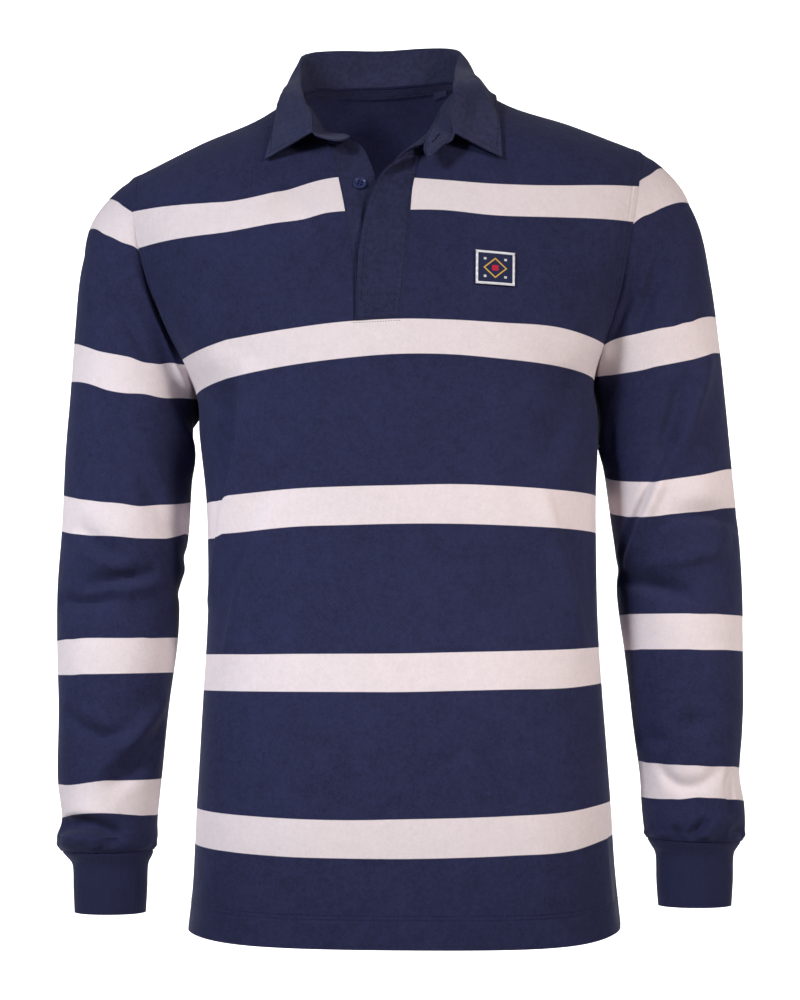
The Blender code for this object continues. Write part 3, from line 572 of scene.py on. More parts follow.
def back_patches():
    flats = []
    for side, sign in (("right", -1), ("left", 1)):
        foot = np.array([sign * BACK_HEM_MIDDLE, HEM])
        knee = np.array([sign * BACK_UNDERARM_MIDDLE, UNDERARM])
        top = np.array([sign * NECK_SIDE, SHOULDER.read("height", NECK_SIDE)])
        low = foot + (knee - foot) * even(SIDE_ROWS)[:, None]
        high = knee + (top - knee) * closer_at_ends(ARMHOLE_ROWS)[1:, None]
        flats.append(ruled(side_and_armhole(side), np.vstack([low, high])))
    share = closer_at_ends(BACK_NECK_COLUMNS)[None, :, None]
    middle = flats[0][:, -1:] * (1 - share) + flats[1][:, -1:] * share
    neck = BACK_NECK.read("height", np.abs(middle[-1, :, 0])) - middle[-1, :, 1]
    middle[:, :, 1] += armhole_share(len(middle)) * neck
    right, left = (panel_patch(flat, 1, BACK_CREASES) for flat in flats)
    return [right[:, ::-1], left, panel_patch(middle, 1, BACK_CREASES, outer_edge=False)[:, ::-1]]


back = cloth("back_jersey", back_patches(), JERSEY, jersey, "back", JERSEY_MARKS)


# ---- Sleeves -----------------------------------------------------------------------------------------
# Set-in sleeves of the same jersey, each one piece sewn into a tube along the underarm, with elbow and
# forearm creases and a little fulness gathered into the cuff.

SLEEVE_RINGS, SLEEVE_RADIUS = 260, 50.0
ARMHOLE_FADE = 3.0                              # rings over which a sleeve eases out of its armhole
GATHER = 0.75                                   # the sleeve puffs out this far above its cuff
START_FADE, END_FADE = 12, 6                    # creases ease in over this from armhole and cuff
UNDER_SEAM, UNDER_SEAM_WIDTH = 0.5, 1.8         # the seam underneath draws the cloth in
RINGS = "ring outer_x outer_z inner_x inner_z middle_y half_depth"
SLEEVE = {
    "right": Table(
        RINGS,
        (0, -224, -59, -164, -257, 13, 60),
        (1, -245, -85, -166.4, -264, 13, 61),
        (2, -259, -109, -167.4, -271, 12, 62),
        (3, -269, -147, -168, -281, 11, 63),
        (4, -273.5, -200, -168.6, -296, 10, 63),
        (5, -277, -255, -168.6, -316, 9, 62),
        (6, -280.5, -305, -169.6, -340, 7, 60),
        (7, -283, -372, -172, -380, 5, 57),
        (8, -286, -425, -177.5, -425, 1, 53),
        (9, -285.5, -475, -180, -472, -3, 51),
        (10, -283, -530, -187, -530, -8, 48),
        (11, -282.5, -590, -192.5, -590, -14, 45),
        (12, -278, -625, -195, -625, -18, 43),
        (13, -282, -641, -194.7, -642, -20, 43),
        (14, -278.7, -653, -197.5, -652, -20, 37)),
    "left": Table(
        RINGS,
        (0, 226, -42, 185.4, -243, -12, 60),
        (1, 247, -61, 185.6, -249, -12, 61),
        (2, 267, -84, 187, -257, -11, 62),
        (3, 280, -112, 188.6, -269, -10, 63),
        (4, 288, -153, 191, -285, -9, 63),
        (5, 294, -205, 192.5, -306, -8, 62),
        (6, 299, -262, 195.5, -331, -7, 60),
        (7, 304, -325, 199.5, -360, -7, 58),
        (8, 309.5, -385, 204, -398, -8, 55),
        (9, 312, -432, 205, -434, -9, 53),
        (10, 312.5, -480, 211, -480, -12, 50),
        (11, 313, -540, 217.5, -540, -16, 47),
        (12, 309.5, -585, 223, -585, -19, 45),
        (13, 313, -612, 224, -612, -21, 43),
        (14, 313.5, -632, 225.6, -631, -22, 43),
        (15, 311, -644.5, 227.8, -641.5, -22, 38))}

# rings of the sleeve at which each stripe's edges run, by the angle round from the outside to the front
SLEEVE_STRIPES = {
    "right": Table(
        "angle " + STRIPE_EDGES,
        (0, 0.95, 2.1, 4.2, 4.8, 6.57, 7.05, 8.95, 9.5, 11.14, 12.05),
        (28, 0.6, 1.72, 4.13, 4.75, 6.6, 7.09, 8.94, 9.5, 11.13, 11.93),
        (40, 0.39, 1.51, 4.08, 4.7, 6.61, 7.11, 8.93, 9.5, 11.13, 11.88),
        (50, 0.11, 1.18, 4.02, 4.65, 6.62, 7.12, 8.93, 9.5, 11.12, 11.84),
        (60, -0.3, 0.8, 3.94, 4.6, 6.62, 7.13, 8.92, 9.49, 11.1, 11.81),
        (72, -0.8, 0.15, 3.78, 4.53, 6.62, 7.13, 8.92, 9.49, 11.07, 11.78),
        (90, -1.3, -0.6, 3.42, 4.3, 6.6, 7.13, 8.93, 9.49, 11.03, 11.77),
        (109, -1.9, -1.2, 2.85, 3.87, 6.59, 7.14, 8.94, 9.49, 11.03, 11.8),
        (120, -2.2, -1.5, 2.13, 3.6, 6.54, 7.13, 8.94, 9.49, 11.03, 11.83),
        (128, -2.4, -1.7, 1.15, 3.33, 6.5, 7.12, 8.95, 9.49, 11.03, 11.85),
        (135, -2.6, -2, 0.35, 3, 6.47, 7.11, 8.95, 9.49, 11.03, 11.87),
        (150, -3, -2.5, -0.9, 2, 6.4, 7.04, 8.95, 9.49, 11.03, 11.88),
        (165, -3.5, -3, -1.4, 0.7, 6.33, 6.97, 8.95, 9.49, 11.03, 11.9),
        (180, -4, -3.5, -1.8, 0.1, 6.27, 6.98, 8.95, 9.49, 11.03, 11.9)),
    "left": Table(
        "angle " + STRIPE_EDGES,
        (0, 1.05, 2.25, 4.7, 5.28, 6.96, 7.5, 9.42, 10.03, 11.93, 12.97),
        (20, 0.72, 2.03, 4.66, 5.25, 6.95, 7.5, 9.4, 10.02, 11.9, 12.89),
        (36, 0.44, 1.68, 4.55, 5.17, 6.94, 7.49, 9.39, 10.01, 11.87, 12.83),
        (51, -0.05, 1.22, 4.4, 5.08, 6.93, 7.49, 9.38, 10, 11.86, 12.79),
        (60, -0.35, 0.86, 4.3, 5, 6.92, 7.48, 9.37, 10, 11.85, 12.76),
        (68, -0.7, 0.38, 4.15, 4.9, 6.9, 7.47, 9.37, 10, 11.85, 12.74),
        (77, -1, -0.1, 3.97, 4.76, 6.87, 7.45, 9.37, 10, 11.84, 12.73),
        (91, -1.4, -0.7, 3.52, 4.48, 6.81, 7.42, 9.36, 9.99, 11.82, 12.71),
        (99, -1.6, -1, 3.2, 4.28, 6.77, 7.4, 9.36, 9.99, 11.82, 12.74),
        (109, -1.8, -1.3, 2.67, 4, 6.72, 7.38, 9.36, 9.99, 11.81, 12.78),
        (120, -2.1, -1.6, 1.85, 3.58, 6.61, 7.34, 9.36, 9.99, 11.81, 12.78),
        (131, -2.4, -1.9, 0.81, 3.04, 6.49, 7.29, 9.36, 9.99, 11.8, 12.79),
        (140, -2.7, -2.2, -0.1, 2.5, 6.38, 7.24, 9.36, 9.99, 11.79, 12.79),
        (150, -3, -2.5, -0.9, 1.75, 6.25, 7.17, 9.36, 10, 11.79, 12.79),
        (163, -3.4, -2.9, -1.5, 0.64, 6.08, 7.09, 9.37, 10, 11.77, 12.78),
        (180, -4, -3.5, -2, -0.4, 5.88, 6.98, 9.37, 10, 11.77, 12.78))}

# creases of the sleeves, as the front's, but running through (ring, angle)
SLEEVE_CREASES = {
    "right": [
        (-5.5, 9, 9, 2.85, 60, 2.65, 80, 2.5, 108),
        (-3.5, 9, 9, 4.6, 70, 5.4, 82, 6.5, 88),
        (-3.5, 10, 9, 5.1, 84, 6.05, 110, 7.0, 142),
        (3, 8, 10, 5.0, 102, 5.9, 122, 6.8, 146),
        (-6, 6, 9, 6.95, 44, 7.25, 68, 7.6, 100),
        (6, 8, 5, 7.2, 48, 7.5, 74, 7.8, 108),
        (-7.5, 5, 8, 8.08, 48, 7.93, 82, 7.8, 134),
        (4.5, 9, 4, 8.1, 80, 8.02, 104, 7.95, 130),
        (-9, 5, 7, 8.26, 20, 8.3, 62, 8.24, 104),
        (-1.4, 7, 7, 7.4, 150, 7.4, 180, 7.4, 210),
        (1.5, 7, 7, 7.68, 150, 7.68, 180, 7.68, 210),
        (-2, 8, 8, 8.12, 140, 8.12, 176, 8.12, 212),
        (-8, 6, 8, 10.0, 34, 10.36, 74, 10.4, 100, 10.25, 128),
        (7, 9, 9, 9.8, 168, 10.3, 126, 10.66, 97, 11.05, 75),
        (-5.5, 9, 9, 10.3, 165, 10.9, 120, 11.2, 90),
        (-11, 7, 5, 12.3, 12, 12.05, 62, 12.3, 92, 12.85, 112, 13.2, 96),
        (5, 6, 9, 11.95, 30, 11.75, 70, 11.9, 110),
        (4, 8, 6, 13.1, 30, 12.8, 66, 12.9, 92),
        (7, 12, 12, 3.2, 150, 4.4, 158, 5.8, 165),
        (-9, 14, 14, 7.6, 215, 8.4, 250, 8.6, 290),
        (-7, 12, 12, 9.6, 220, 10.3, 255, 10.6, 300),
        (-6.5, 12, 12, 5.0, 215, 5.9, 245, 6.4, 280),
        (5.5, 12, 12, 8.6, 215, 9.2, 250, 9.6, 290),
        (8, 12, 12, 0.0, 198, 1.0, 200, 2.0, 200, 3.2, 198),
        (7.5, 13, 17, 0.4, 66, 0.5, 100, 0.6, 132, 0.8, 170),
        (4.5, 24, 24, 0.0, 0, 1.0, 0, 2.6, 0),
        (4.5, 24, 24, 0.0, 360, 1.0, 360, 2.6, 360)],
    "left": [
        (-5.5, 8, 9, 2.1, 70, 2.3, 92, 2.4, 115),
        (-5.5, 7, 8, 1.7, 95, 0.9, 115, 0.2, 135),
        (7, 10, 10, 5.1, 38, 5.87, 70, 6.7, 92),
        (-6, 9, 7, 5.0, 74, 5.9, 92, 6.8, 110),
        (9, 5.5, 14, 6.2, 90, 7.38, 122, 8.3, 156),
        (-8, 7, 4, 6.3, 104, 7.4, 135, 8.3, 170),
        (-8, 11, 4.5, 7.42, 104, 7.55, 71, 7.62, 40, 7.85, 4),
        (-10, 10, 6, 8.55, 170, 8.8, 124, 9.12, 74),
        (-1.6, 9, 9, 8.35, 150, 8.35, 180, 8.35, 208),
        (4.5, 5, 12, 8.0, 30, 8.25, 80, 8.35, 130),
        (-3.5, 8, 9, 11.15, 120, 11.03, 92, 10.95, 60),
        (-3.5, 8, 9, 11.3, 168, 11.33, 135, 11.35, 104),
        (-7.5, 5, 4.5, 15.2, 104, 14.6, 99, 14.0, 90, 13.55, 78),
        (5, 5, 6, 15, 94, 14.4, 88, 13.9, 76, 13.6, 62),
        (-3.5, 5, 5, 15.2, 120, 14.5, 117, 13.9, 121),
        (-5, 7, 6, 11.7, 140, 12.35, 111, 12.3, 83, 11.8, 54),
        (-4.5, 5, 5, 11.9, 40, 12.4, 47, 12.9, 48, 13.4, 45),
        (-5, 7, 6, 14.4, 14, 14.2, 34, 14.5, 54),
        (7, 12, 12, 3.2, 150, 4.4, 158, 5.8, 165),
        (-9, 14, 14, 7.6, 215, 8.4, 250, 8.6, 290),
        (-7, 12, 12, 9.9, 220, 10.6, 255, 10.9, 300),
        (-6.5, 12, 12, 5.0, 215, 5.9, 245, 6.4, 280),
        (5.5, 12, 12, 8.8, 215, 9.4, 250, 9.8, 290),
        (9, 10, 10, 0.5, 210, 2.0, 210, 3.2, 210, 4.8, 208, 5.8, 205),
        (6, 10, 10, 0.0, 212, 0.8, 212, 1.8, 210, 3.0, 208),
        (2.5, 9, 14, 0.3, 62, 0.35, 100, 0.45, 135, 0.7, 172),
        (3.5, 24, 24, 0.0, 0, 1.0, 0, 2.2, 0),
        (3.5, 24, 24, 0.0, 360, 1.0, 360, 2.2, 360),
        (-4.5, 10, 12, 3.2, 138, 4.2, 146, 5.4, 150),
        (2.9, 26, 26, 4.0, 0, 8.0, 0, 11.0, 0),
        (2.9, 26, 26, 4.0, 360, 8.0, 360, 11.0, 360)]}


def armhole_loop(side):
    """The armhole seam, from the shoulder tip down the front to the underarm and up the back."""
    edge = side_and_armhole(side)[SIDE_ROWS:][::-1]
    front_half, back_half = (body_point(edge[:, 0], edge[:, 1], face) for face in (-1, 1))
    return np.vstack([front_half, back_half[::-1][1:]])


def ring_points(table, ring, angles):
    outer, inner = table.point("outer_x outer_z", ring), table.point("inner_x inner_z", ring)
    x, z = ((outer + inner) / 2 + (outer - inner) / 2 * np.cos(angles)[:, None]).T
    y = table.read("middle_y", ring) - table.read("half_depth", ring) * np.sin(angles)
    return np.column_stack([x, y, z])


def tube(table, rings, loop=None):
    """Rings of a sleeve or cuff; a sleeve's first rings ease out of its armhole loop."""
    angles = np.arange(2 * ARMHOLE_ROWS + 1) * math.pi / ARMHOLE_ROWS
    places = table.rows[-1, 0] * even(rings)
    grid = np.array([ring_points(table, ring, angles) for ring in places])
    if loop is not None:
        fade = np.clip(1 - places / ARMHOLE_FADE, 0, 1)[:, None, None] ** 2
        grid += (loop - ring_points(table, 0, angles)) * fade
    return grid, places, angles


def sleeve_patch(side):
    points, places, angles = tube(SLEEVE[side], SLEEVE_RINGS, armhole_loop(side))
    down = arc_length(points[:, :-1].mean(axis=1))
    creases = []
    for row in SLEEVE_CREASES[side]:
        ring, angle = np.reshape(row[3:], (-1, 2)).T
        way = np.column_stack([np.interp(ring, places, down), np.radians(angle) * SLEEVE_RADIUS])
        creases.append((*row[:3], *way.ravel()))
    u, v = np.broadcast_arrays(down[:, None], angles[None] * SLEEVE_RADIUS)
    lift = creased(u, v, creases)
    ripple = np.sin(u / 23 + v / 31) * np.sin(v / 27 - u / 61) * np.sin(v / SLEEVE_RADIUS / 2) ** 2
    from_start, from_end = arc_length(points), down[-1] - u
    lift = (lift + SLEEVE_RIPPLE * ripple) * ramp(from_start, START_FADE) * ramp(from_end, END_FADE)
    lift = lift - SEAM_ROLL * hump(from_start, SEAM_ROLL_WIDTH)
    lift = lift + GATHER * (1.2 + np.sin(angles * 11 + np.sin(angles * 4))) * hump(from_end - 4.5, 3)
    lift = lift - UNDER_SEAM * hump((angles - math.pi) * SLEEVE_RADIUS, UNDER_SEAM_WIDTH)
    edges = SLEEVE_STRIPES[side].point(STRIPE_EDGES, np.degrees(np.minimum(angles, 2 * math.pi - angles)))
    stripe = off_stripe(np.broadcast_to(places[:, None], u.shape), edges[None])
    far = np.full(u.shape, FAR)
    return with_marks(points, lift, stripe, far, far, v * SLEEVE_WALES, u)


def facing_out(patch, side):
    """The wearer's right is drawn in the opposite sense round, so its columns are turned about."""
    return patch[:, ::-1] if side == "right" else patch


for side in SLEEVE:
    sleeve = cloth(f"sleeve_{side}_jersey", [facing_out(sleeve_patch(side), side)], JERSEY, jersey,
                   f"sleeve_{side}", JERSEY_MARKS)


# ---- Cuffs -------------------------------------------------------------------------------------------
# Doubled one-by-one rib in the same navy, knitted as a tube and sewn on with the sleeve slightly
# gathered, its lower edge a fold.

RIB, RIB_PITCH, CUFF_RINGS = 2.2, 2.1, 30
CUFF = {
    "right": Table(
        RINGS,
        (0, -278.7, -653, -197.5, -652, -20, 37),
        (1, -273, -658.5, -199.8, -658, -20.5, 33.5),
        (2, -268, -666, -202.9, -666, -21, 30),
        (3, -267, -686, -203.4, -686, -22, 28.5),
        (4, -266, -706, -204.5, -706, -22, 28)),
    "left": Table(
        RINGS,
        (0, 311, -644.5, 227.8, -641.5, -22, 38),
        (1, 306.5, -650, 232.2, -648.5, -22.5, 34),
        (2, 303.2, -657.5, 236, -657, -23, 30.5),
        (3, 302.4, -679, 236.4, -679, -24, 28.5),
        (4, 301, -700, 237.8, -700, -24, 28))}


def rib_colour(shade):
    # the rib's colour is lighter on the crests and darker in the furrows between them: painted shade in the
    # furrows, on top of the relief
    rib = shade.mark("round").wave(RIB_PITCH) * 0.05
    return shade.shaded(NAVY, rib + shade.speckle(4.0) * 0.14 + shade.speckle(1.5, 3.0) * 0.3 + 0.70)


def rib_relief(shade):
    return shade.mark("round").wave(RIB_PITCH) * 0.35 + shade.speckle(0.8) * 0.6 + shade.speckle(12.0) * 1.5


navy_rib = material("navy_rib_knit", rib_colour, rib_relief, 0.4, Roughness=0.9, Sheen_Weight=0.08,
                    Sheen_Tint=COOL)
for side in CUFF:
    points, _, angles = tube(CUFF[side], CUFF_RINGS)
    girth, down = arc_length(points, 1), arc_length(points)
    ribs = np.round(girth[:, -1:].mean() / RIB_PITCH)
    lift = 0.35 * np.sin(angles * 3) - 1.6 * hump(down, 2)
    patch = with_marks(points, lift, girth / girth[:, -1:] * ribs * RIB_PITCH, down)
    cuff = cloth(f"cuff_{side}_rib", [facing_out(patch, side)], RIB, navy_rib, f"cuff_{side}",
                 ("round", "down"))


# ---- Plackets ----------------------------------------------------------------------------------------
# Two strips of the collar's close navy twill along the slit: the under one carries the button, the top
# one laps over it and hides its buttonholes, with a box of stitching at its foot.

TWILL = 1.6
UNDER_PLACKET_EDGE = [
    (0, SLIT_FOOT, -2.2), (-2, -150, -2.2), (-7, -95, -3), (-13, -66, -4), (-20, -50, -6), (-31, -40, -8)]
TOP_PLACKET_EDGE = [
    (-31, SLIT_FOOT, 2.4), (-24, -136, 2.6), (-16, -103, 3), (-3.5, -78, 7), (17, -61, 12), (33, -56, 14)]
# creases of the plackets, as the front's: the top one rolls outward above its first buttonhole
UNDER_PLACKET_CREASES = [
    (-2.2, 4, 6, -16, -150, -14, -120, -17, -95),
    (2.2, 5, 5, -22, -140, -24, -110, -28, -80)]
TOP_PLACKET_CREASES = [
    (3.2, 3, 5, -5, -86, 1.2, -75, 13.7, -68, 30, -63),
    (-3, 3.5, 4.5, 4, -84, 12, -76.5, 21, -75, 30, -77),
    (1.8, 3, 3, 10, -90, 22, -82, 31, -80),
    (1.8, 3, 3, -27.5, -190, -24, -150, -17, -112),
    (-1.4, 5, 5, -8, -190, -6, -150, 0, -110)]
COLLAR_NAVY = (0.0205, 0.0222, 0.060, 1)


def twill_tone(shade):
    return shade.speckle(30, 3.0) * 0.5 + shade.speckle(4.0) * 0.9 + shade.speckle(1.3, 3.0) * 0.8 - 0.1


def twill_relief(shade):
    furrow = shade.mark("from_edge").line(1.8, 1.0) + shade.mark("from_edge").line(5.2, 1.0)
    return shade.speckle(0.6) * 0.6 + shade.speckle(6.0) * 0.4 - furrow * 1.2


def twill(name, colour, sheen):
    return material(name, lambda shade: shade.shaded(colour, twill_tone(shade)), twill_relief, 0.2,
                    Roughness=0.85, Sheen_Weight=sheen, Sheen_Tint=COOL)


navy_twill = twill("navy_twill_cloth", COLLAR_NAVY, 0.06)


def placket(side, free_edge, rows=SLIT_ROWS, columns=PLACKET_COLUMNS):
    """A strip from the slit's edge to its free edge: its points, and their (across, height)."""
    sewn, share = curve_through(SLIT_EDGE[side], even(rows)), even(columns)
    free = curve_through(free_edge, even(rows), measured=2)
    flat = sewn[:, None] * (1 - share[None, :, None]) + free[:, None, :2] * share[None, :, None]
    out = free[:, 2:] * np.minimum(1, 2 * share if side == "right" else share)
    return body_point(flat[..., 0], flat[..., 1], -1, out), flat


def edge_distance(grid, sides):
    """The distance of each point from the nearest of these edges of its grid."""
    down, along = arc_length(grid), arc_length(grid, 1)
    found = {"top": down, "bottom": down[-1:] - down, "left": along, "right": along[:, -1:] - along}
    return np.min([found[side] for side in sides.split()], axis=0)


under = placket("right", UNDER_PLACKET_EDGE)[0]
top = placket("left", TOP_PLACKET_EDGE)[0][:, ::-1]
for name, side, edge, node, creases in (
        ("under_placket", "right", UNDER_PLACKET_EDGE, "placket_under", UNDER_PLACKET_CREASES),
        ("top_placket", "left", TOP_PLACKET_EDGE, "placket_top", TOP_PLACKET_CREASES)):
    grid, flat = placket(side, edge, 4 * SLIT_ROWS, 3 * PLACKET_COLUMNS)
    lift = creased(flat[..., 0], flat[..., 1], creases)
    patch = with_marks(grid, lift, edge_distance(grid, "top left right"))
    strip = cloth(name, [patch[:, ::-1] if side == "left" else patch], TWILL, navy_twill, node,
                  ("from_edge",))


# ---- Collar ------------------------------------------------------------------------------------------
# A turn-down collar of the same twill: the stand is sewn round the neck and its open ends flop forward,
# and the leaf folds over it to two points, topstitched along its edges.

COLLAR_FOLD = Table(
    "place x y z stand_share",
    (0, -27, -121, -51, 0.5),
    (0.2, -33, -120.5, -52.2, 0.68),
    (0.4, -39, -119.5, -52, 0.78),
    (0.67, -47, -116, -49.5, 0.87),
    (1, -58.6, -110, -42, 1.0),
    (1.25, -60, -103, -27, 0.9),
    (1.5, -66, -78, -7, 0.75),
    (1.75, -69.7, -42, 11, 0.65),
    (2, -71.5, -2, 29, 0.62),
    (2.25, -72, 26, 48, 0.62),
    (2.5, -68.5, 50, 62.5, 0.62),
    (2.75, -43, 61, 67, 0.62),
    (3, -2, 64, 67.5, 0.62),
    (3.25, 38, 61, 69.5, 0.62),
    (3.5, 63.5, 49, 66.5, 0.62),
    (3.75, 66.5, 25, 52.5, 0.62),
    (4, 63.5, -8, 34, 0.62),
    (4.25, 61, -55, 13, 0.65),
    (4.5, 58.5, -95, -6, 0.75),
    (4.75, 58.5, -109, -25, 0.9),
    (5, 60, -115, -44, 1.0),
    (5.5, 49.5, -122, -57, 1.0),
    (5.75, 43, -125, -64, 1.0),
    (5.9, 39, -127, -69.5, 0.97),
    (6, 36.5, -128, -71, 0.8))
LEAF_EDGE = Table(
    "place x y z",
    (1, -100, -93.5, -63),
    (1.25, -98, -87, -51),
    (1.45, -95, -73, -35),
    (1.7, -93.5, -51, -18),
    (1.87, -93.5, -24, -1),
    (2.1, -93, 8, 7),
    (2.3, -91, 28, 8),
    (2.5, -83, 48, 8),
    (2.75, -54, 80, 10),
    (3, 0, 91, 12),
    (3.25, 54, 79, 14),
    (3.5, 84, 45, 12),
    (3.7, 94, 25, 11),
    (3.9, 98, 0, 9),
    (4.1, 99.5, -30, 3),
    (4.3, 99.5, -62, -13),
    (4.5, 100, -84, -27),
    (4.75, 100.7, -101, -48),
    (5, 101.3, -109.5, -64.5))
LEAF_CLEAR, LEAF_OVER_SEAM, LEAF_FOLD, LEAF_BOW = 4.2, 6.0, 3.0, 2.5
LEAF_OPENS = 0.6                                # towards its points the leaf opens flat over this much
LEAF_ROWS = [0, 0.06, 0.12, 0.2, 0.32, 0.46, 0.64, 0.82, 1]
FOOT_RISE, FOOT_LIFT = 6.0, 3.2
STAND_CELLS, LEAF_CELLS, LEAF_FALL_ROWS = 14, 40, 3
STAND_END_ROUND = 0.3
# the collar is the plackets' twill painted lighter: painted light on its upturned faces
COLLAR_NAVY_PAINTED_LIGHT = (0.033, 0.035, 0.084, 1)


def stations():
    ends, neck, behind = even(PLACKET_COLUMNS), even(NECK_ROWS), even(BACK_NECK_COLUMNS) * 2
    return np.concatenate([ends, 1 + neck[1:], 2 + behind[1:], 4 + neck[1:], 5 + ends[1:]])


def neck_seam():
    """The lower edge of the stand: along the under placket, the neck and the top placket."""
    right, left = (curve_through(FRONT_NECK[side], closer_at_shoulder(NECK_ROWS)) for side in FRONT_NECK)
    across = -NECK_SIDE + 2 * NECK_SIDE * closer_at_ends(BACK_NECK_COLUMNS)
    behind = body_point(across, BACK_NECK.read("height", np.abs(across)), 1)
    return np.vstack([under[-1, ::-1], body_point(right[1:, 0], right[1:, 1], -1), behind[1:],
                      body_point(left[-2::-1, 0], left[-2::-1, 1], -1), top[-1, -2::-1]])


def depth_over_body(points):
    """How far each point lies outside the body's cloth, and the way out of it."""
    height = points[..., 2] - LEAN * points[..., 0]
    across = points[..., 0] - BODY.read("spine", height)
    y = points[..., 1] + TURN * across
    spread = ramp(np.abs(across), BODY.read("half_width", height))
    depth = (np.where(y < 0, BODY.read("front", height), BODY.read("back", height))
             * (1 - spread**ROUNDNESS) ** (1 / ROUNDNESS))
    up = np.maximum(height - SHOULDER.read("height", np.abs(across)) + SHOULDER_ROLL, 0)
    share = np.hypot(y / depth, up / SHOULDER_ROLL)
    way = np.stack([np.zeros_like(y), y / depth**2, up / SHOULDER_ROLL**2], axis=-1)
    steepness = np.linalg.norm(way, axis=-1) / np.maximum(share, 1e-6)
    return (share - 1) / steepness, unit(way)


def lifted_clear(points, clear):
    for _ in range(4):
        outside, way = depth_over_body(points)
        points = points + way * np.clip(clear - outside, 0, None)[..., None]
    return points


def resampled(grid, cells):
    """The grid with this many cells along its columns, smoothly through its rows."""
    return np.stack([curve_through(column, even(cells)) for column in grid.transpose(1, 0, 2)], axis=1)


def collar_grids():
    seam, place = neck_seam(), stations()
    fold = COLLAR_FOLD.point("x y z", place)
    crest = seam + (fold - seam) * COLLAR_FOLD.read("stand_share", place)[:, None]
    rise = unit(fold - seam)
    away = unit(np.cross(rise, np.gradient(fold, axis=0)))
    foot = seam + np.outer(np.clip((np.abs(place - 3) - 1) * FOOT_RISE, 0, FOOT_LIFT), [0, 0, 1])
    middle = (foot + crest) / 2
    share = 1 - ramp(3 - np.abs(place - 3), STAND_END_ROUND)
    half = (crest - foot) / 2 * np.sqrt(1 - share**2)[:, None]
    stand = resampled(np.stack([middle - half, middle + away, middle + half]), STAND_CELLS)

    held = (place > 0.99) & (place < 5.01)
    crest = middle + half
    seam, fold, crest, rise, away, place = (part[held] for part in (seam, fold, crest, rise, away, place))
    edge = LEAF_EDGE.point("x y z", place)
    turned = fold + away * 2 * LEAF_FOLD - rise * LEAF_FOLD
    over = seam + away * LEAF_OVER_SEAM
    over += away * np.maximum(np.sum(((turned + edge) / 2 - over) * away, axis=1), 0)[:, None]
    profile = [crest, fold + (crest - fold) / 3, fold + (away + rise / 2) * LEAF_FOLD,
               turned, (turned + over) / 2 + away * LEAF_BOW]
    profile += [over + (edge - over) * share + away * LEAF_BOW * (1 - share)
                for share in even(LEAF_FALL_ROWS)]
    opened = crest + (edge - crest) * np.array(LEAF_ROWS)[:, None, None]
    share = ramp(2 - np.abs(place - 3), LEAF_OPENS)
    share = (share**2 * (3 - 2 * share))[None, :, None]
    leaf = np.stack(profile) * share + opened * (1 - share)
    leaf[4:] = lifted_clear(leaf[4:], LEAF_CLEAR)
    return stand, resampled(leaf, LEAF_CELLS)


def plain_patch(grid, sides):
    """A patch with no creases, marked with the distance from these edges."""
    return [with_marks(grid, np.zeros(grid.shape[:2]), edge_distance(grid, sides))]


# stand and leaf use the lighter copy of the twill, with painted light
collar_twill_painted_light = twill("collar_twill_with_painted_light", COLLAR_NAVY_PAINTED_LIGHT, 0.08)
stand, leaf = collar_grids()
stand_piece = cloth("collar_stand_cloth", plain_patch(stand, "top left right"), TWILL, collar_twill_painted_light,
                    "collar_stand", ("from_edge",), bulge=0.05)
leaf_piece = cloth("collar_leaf_cloth", plain_patch(leaf, "bottom left right"), TWILL, collar_twill_painted_light,
                   "collar_leaf", ("from_edge",), bulge=0.05)


# ---- Neck tape and label -----------------------------------------------------------------------------
# A narrow tape of the twill covers the seam inside the back neck, and a small plain woven label hangs
# below it.

TAPE, TAPE_WIDTH, NECK_TURNING = 0.8, 9.0, 2.0
PANEL_GAP = 0.6
LABEL_LENGTH, LABEL_SPAN = 8.0, (13.1, 16.6)    # the label's span is in columns of the back's neck


def hung_inside(grid, columns, drops):
    """Points inside a panel, these lengths down from its top edge at these of its columns."""
    facing = unit(np.cross(np.gradient(grid, axis=1), np.gradient(grid, axis=0)))
    inner = (grid - facing * (JERSEY + 2 * PANEL_GAP))[::-1]
    made = []
    for column in columns:
        i = int(column)
        line = inner[:, i] + (inner[:, i + 1] - inner[:, i]) * (column - i)
        made.append(point_at(line, arc_length(line), drops))
    return np.stack(made, axis=1)


label_satin = material("label_satin", lambda shade: shade.shaded(COLLAR_NAVY, shade.speckle(0.8) * 0.3 + 1.3),
                       lambda shade: shade.speckle(0.5), 0.1, Roughness=0.6, Sheen_Weight=0.1)
nape = back_patches()[2][..., :3]
drops = np.linspace(NECK_TURNING + TAPE_WIDTH, NECK_TURNING, 8)
tape = hung_inside(nape, np.linspace(7, BACK_NECK_COLUMNS - 7, 50), drops)
tape_piece = cloth("neck_tape_twill", plain_patch(tape, "top bottom"), TAPE, navy_twill,
                   "neck_tape", ("from_edge",))
label = hung_inside(nape, np.linspace(*LABEL_SPAN, 9), drops[0] - 0.5 + np.linspace(LABEL_LENGTH, 0, 7))
label_piece = cloth("size_label_satin", plain_patch(label, "top left right"), TAPE, label_satin,
                    "size_label", ("from_edge",))


# ---- Badge -------------------------------------------------------------------------------------------
# A woven square patch on the wearer's left chest with a thick overlocked white border; its field has a
# plain geometric motif in the same few thread colours.

BADGE, BADGE_BORDER, BADGE_CELLS = 1.2, 2.2, 40
BADGE_CORNERS = [(70.4, -177.8), (103, -181), (72, -149), (104.6, -153)]
BADGE_NAVY, BADGE_WHITE = (0.017, 0.021, 0.07, 1), (0.96, 0.93, 0.98, 1)
BADGE_GOLD, BADGE_RED, BADGE_DOTS = (0.74, 0.44, 0.08, 1), (0.58, 0.016, 0.05, 1), (0.72, 0.72, 0.74, 1)
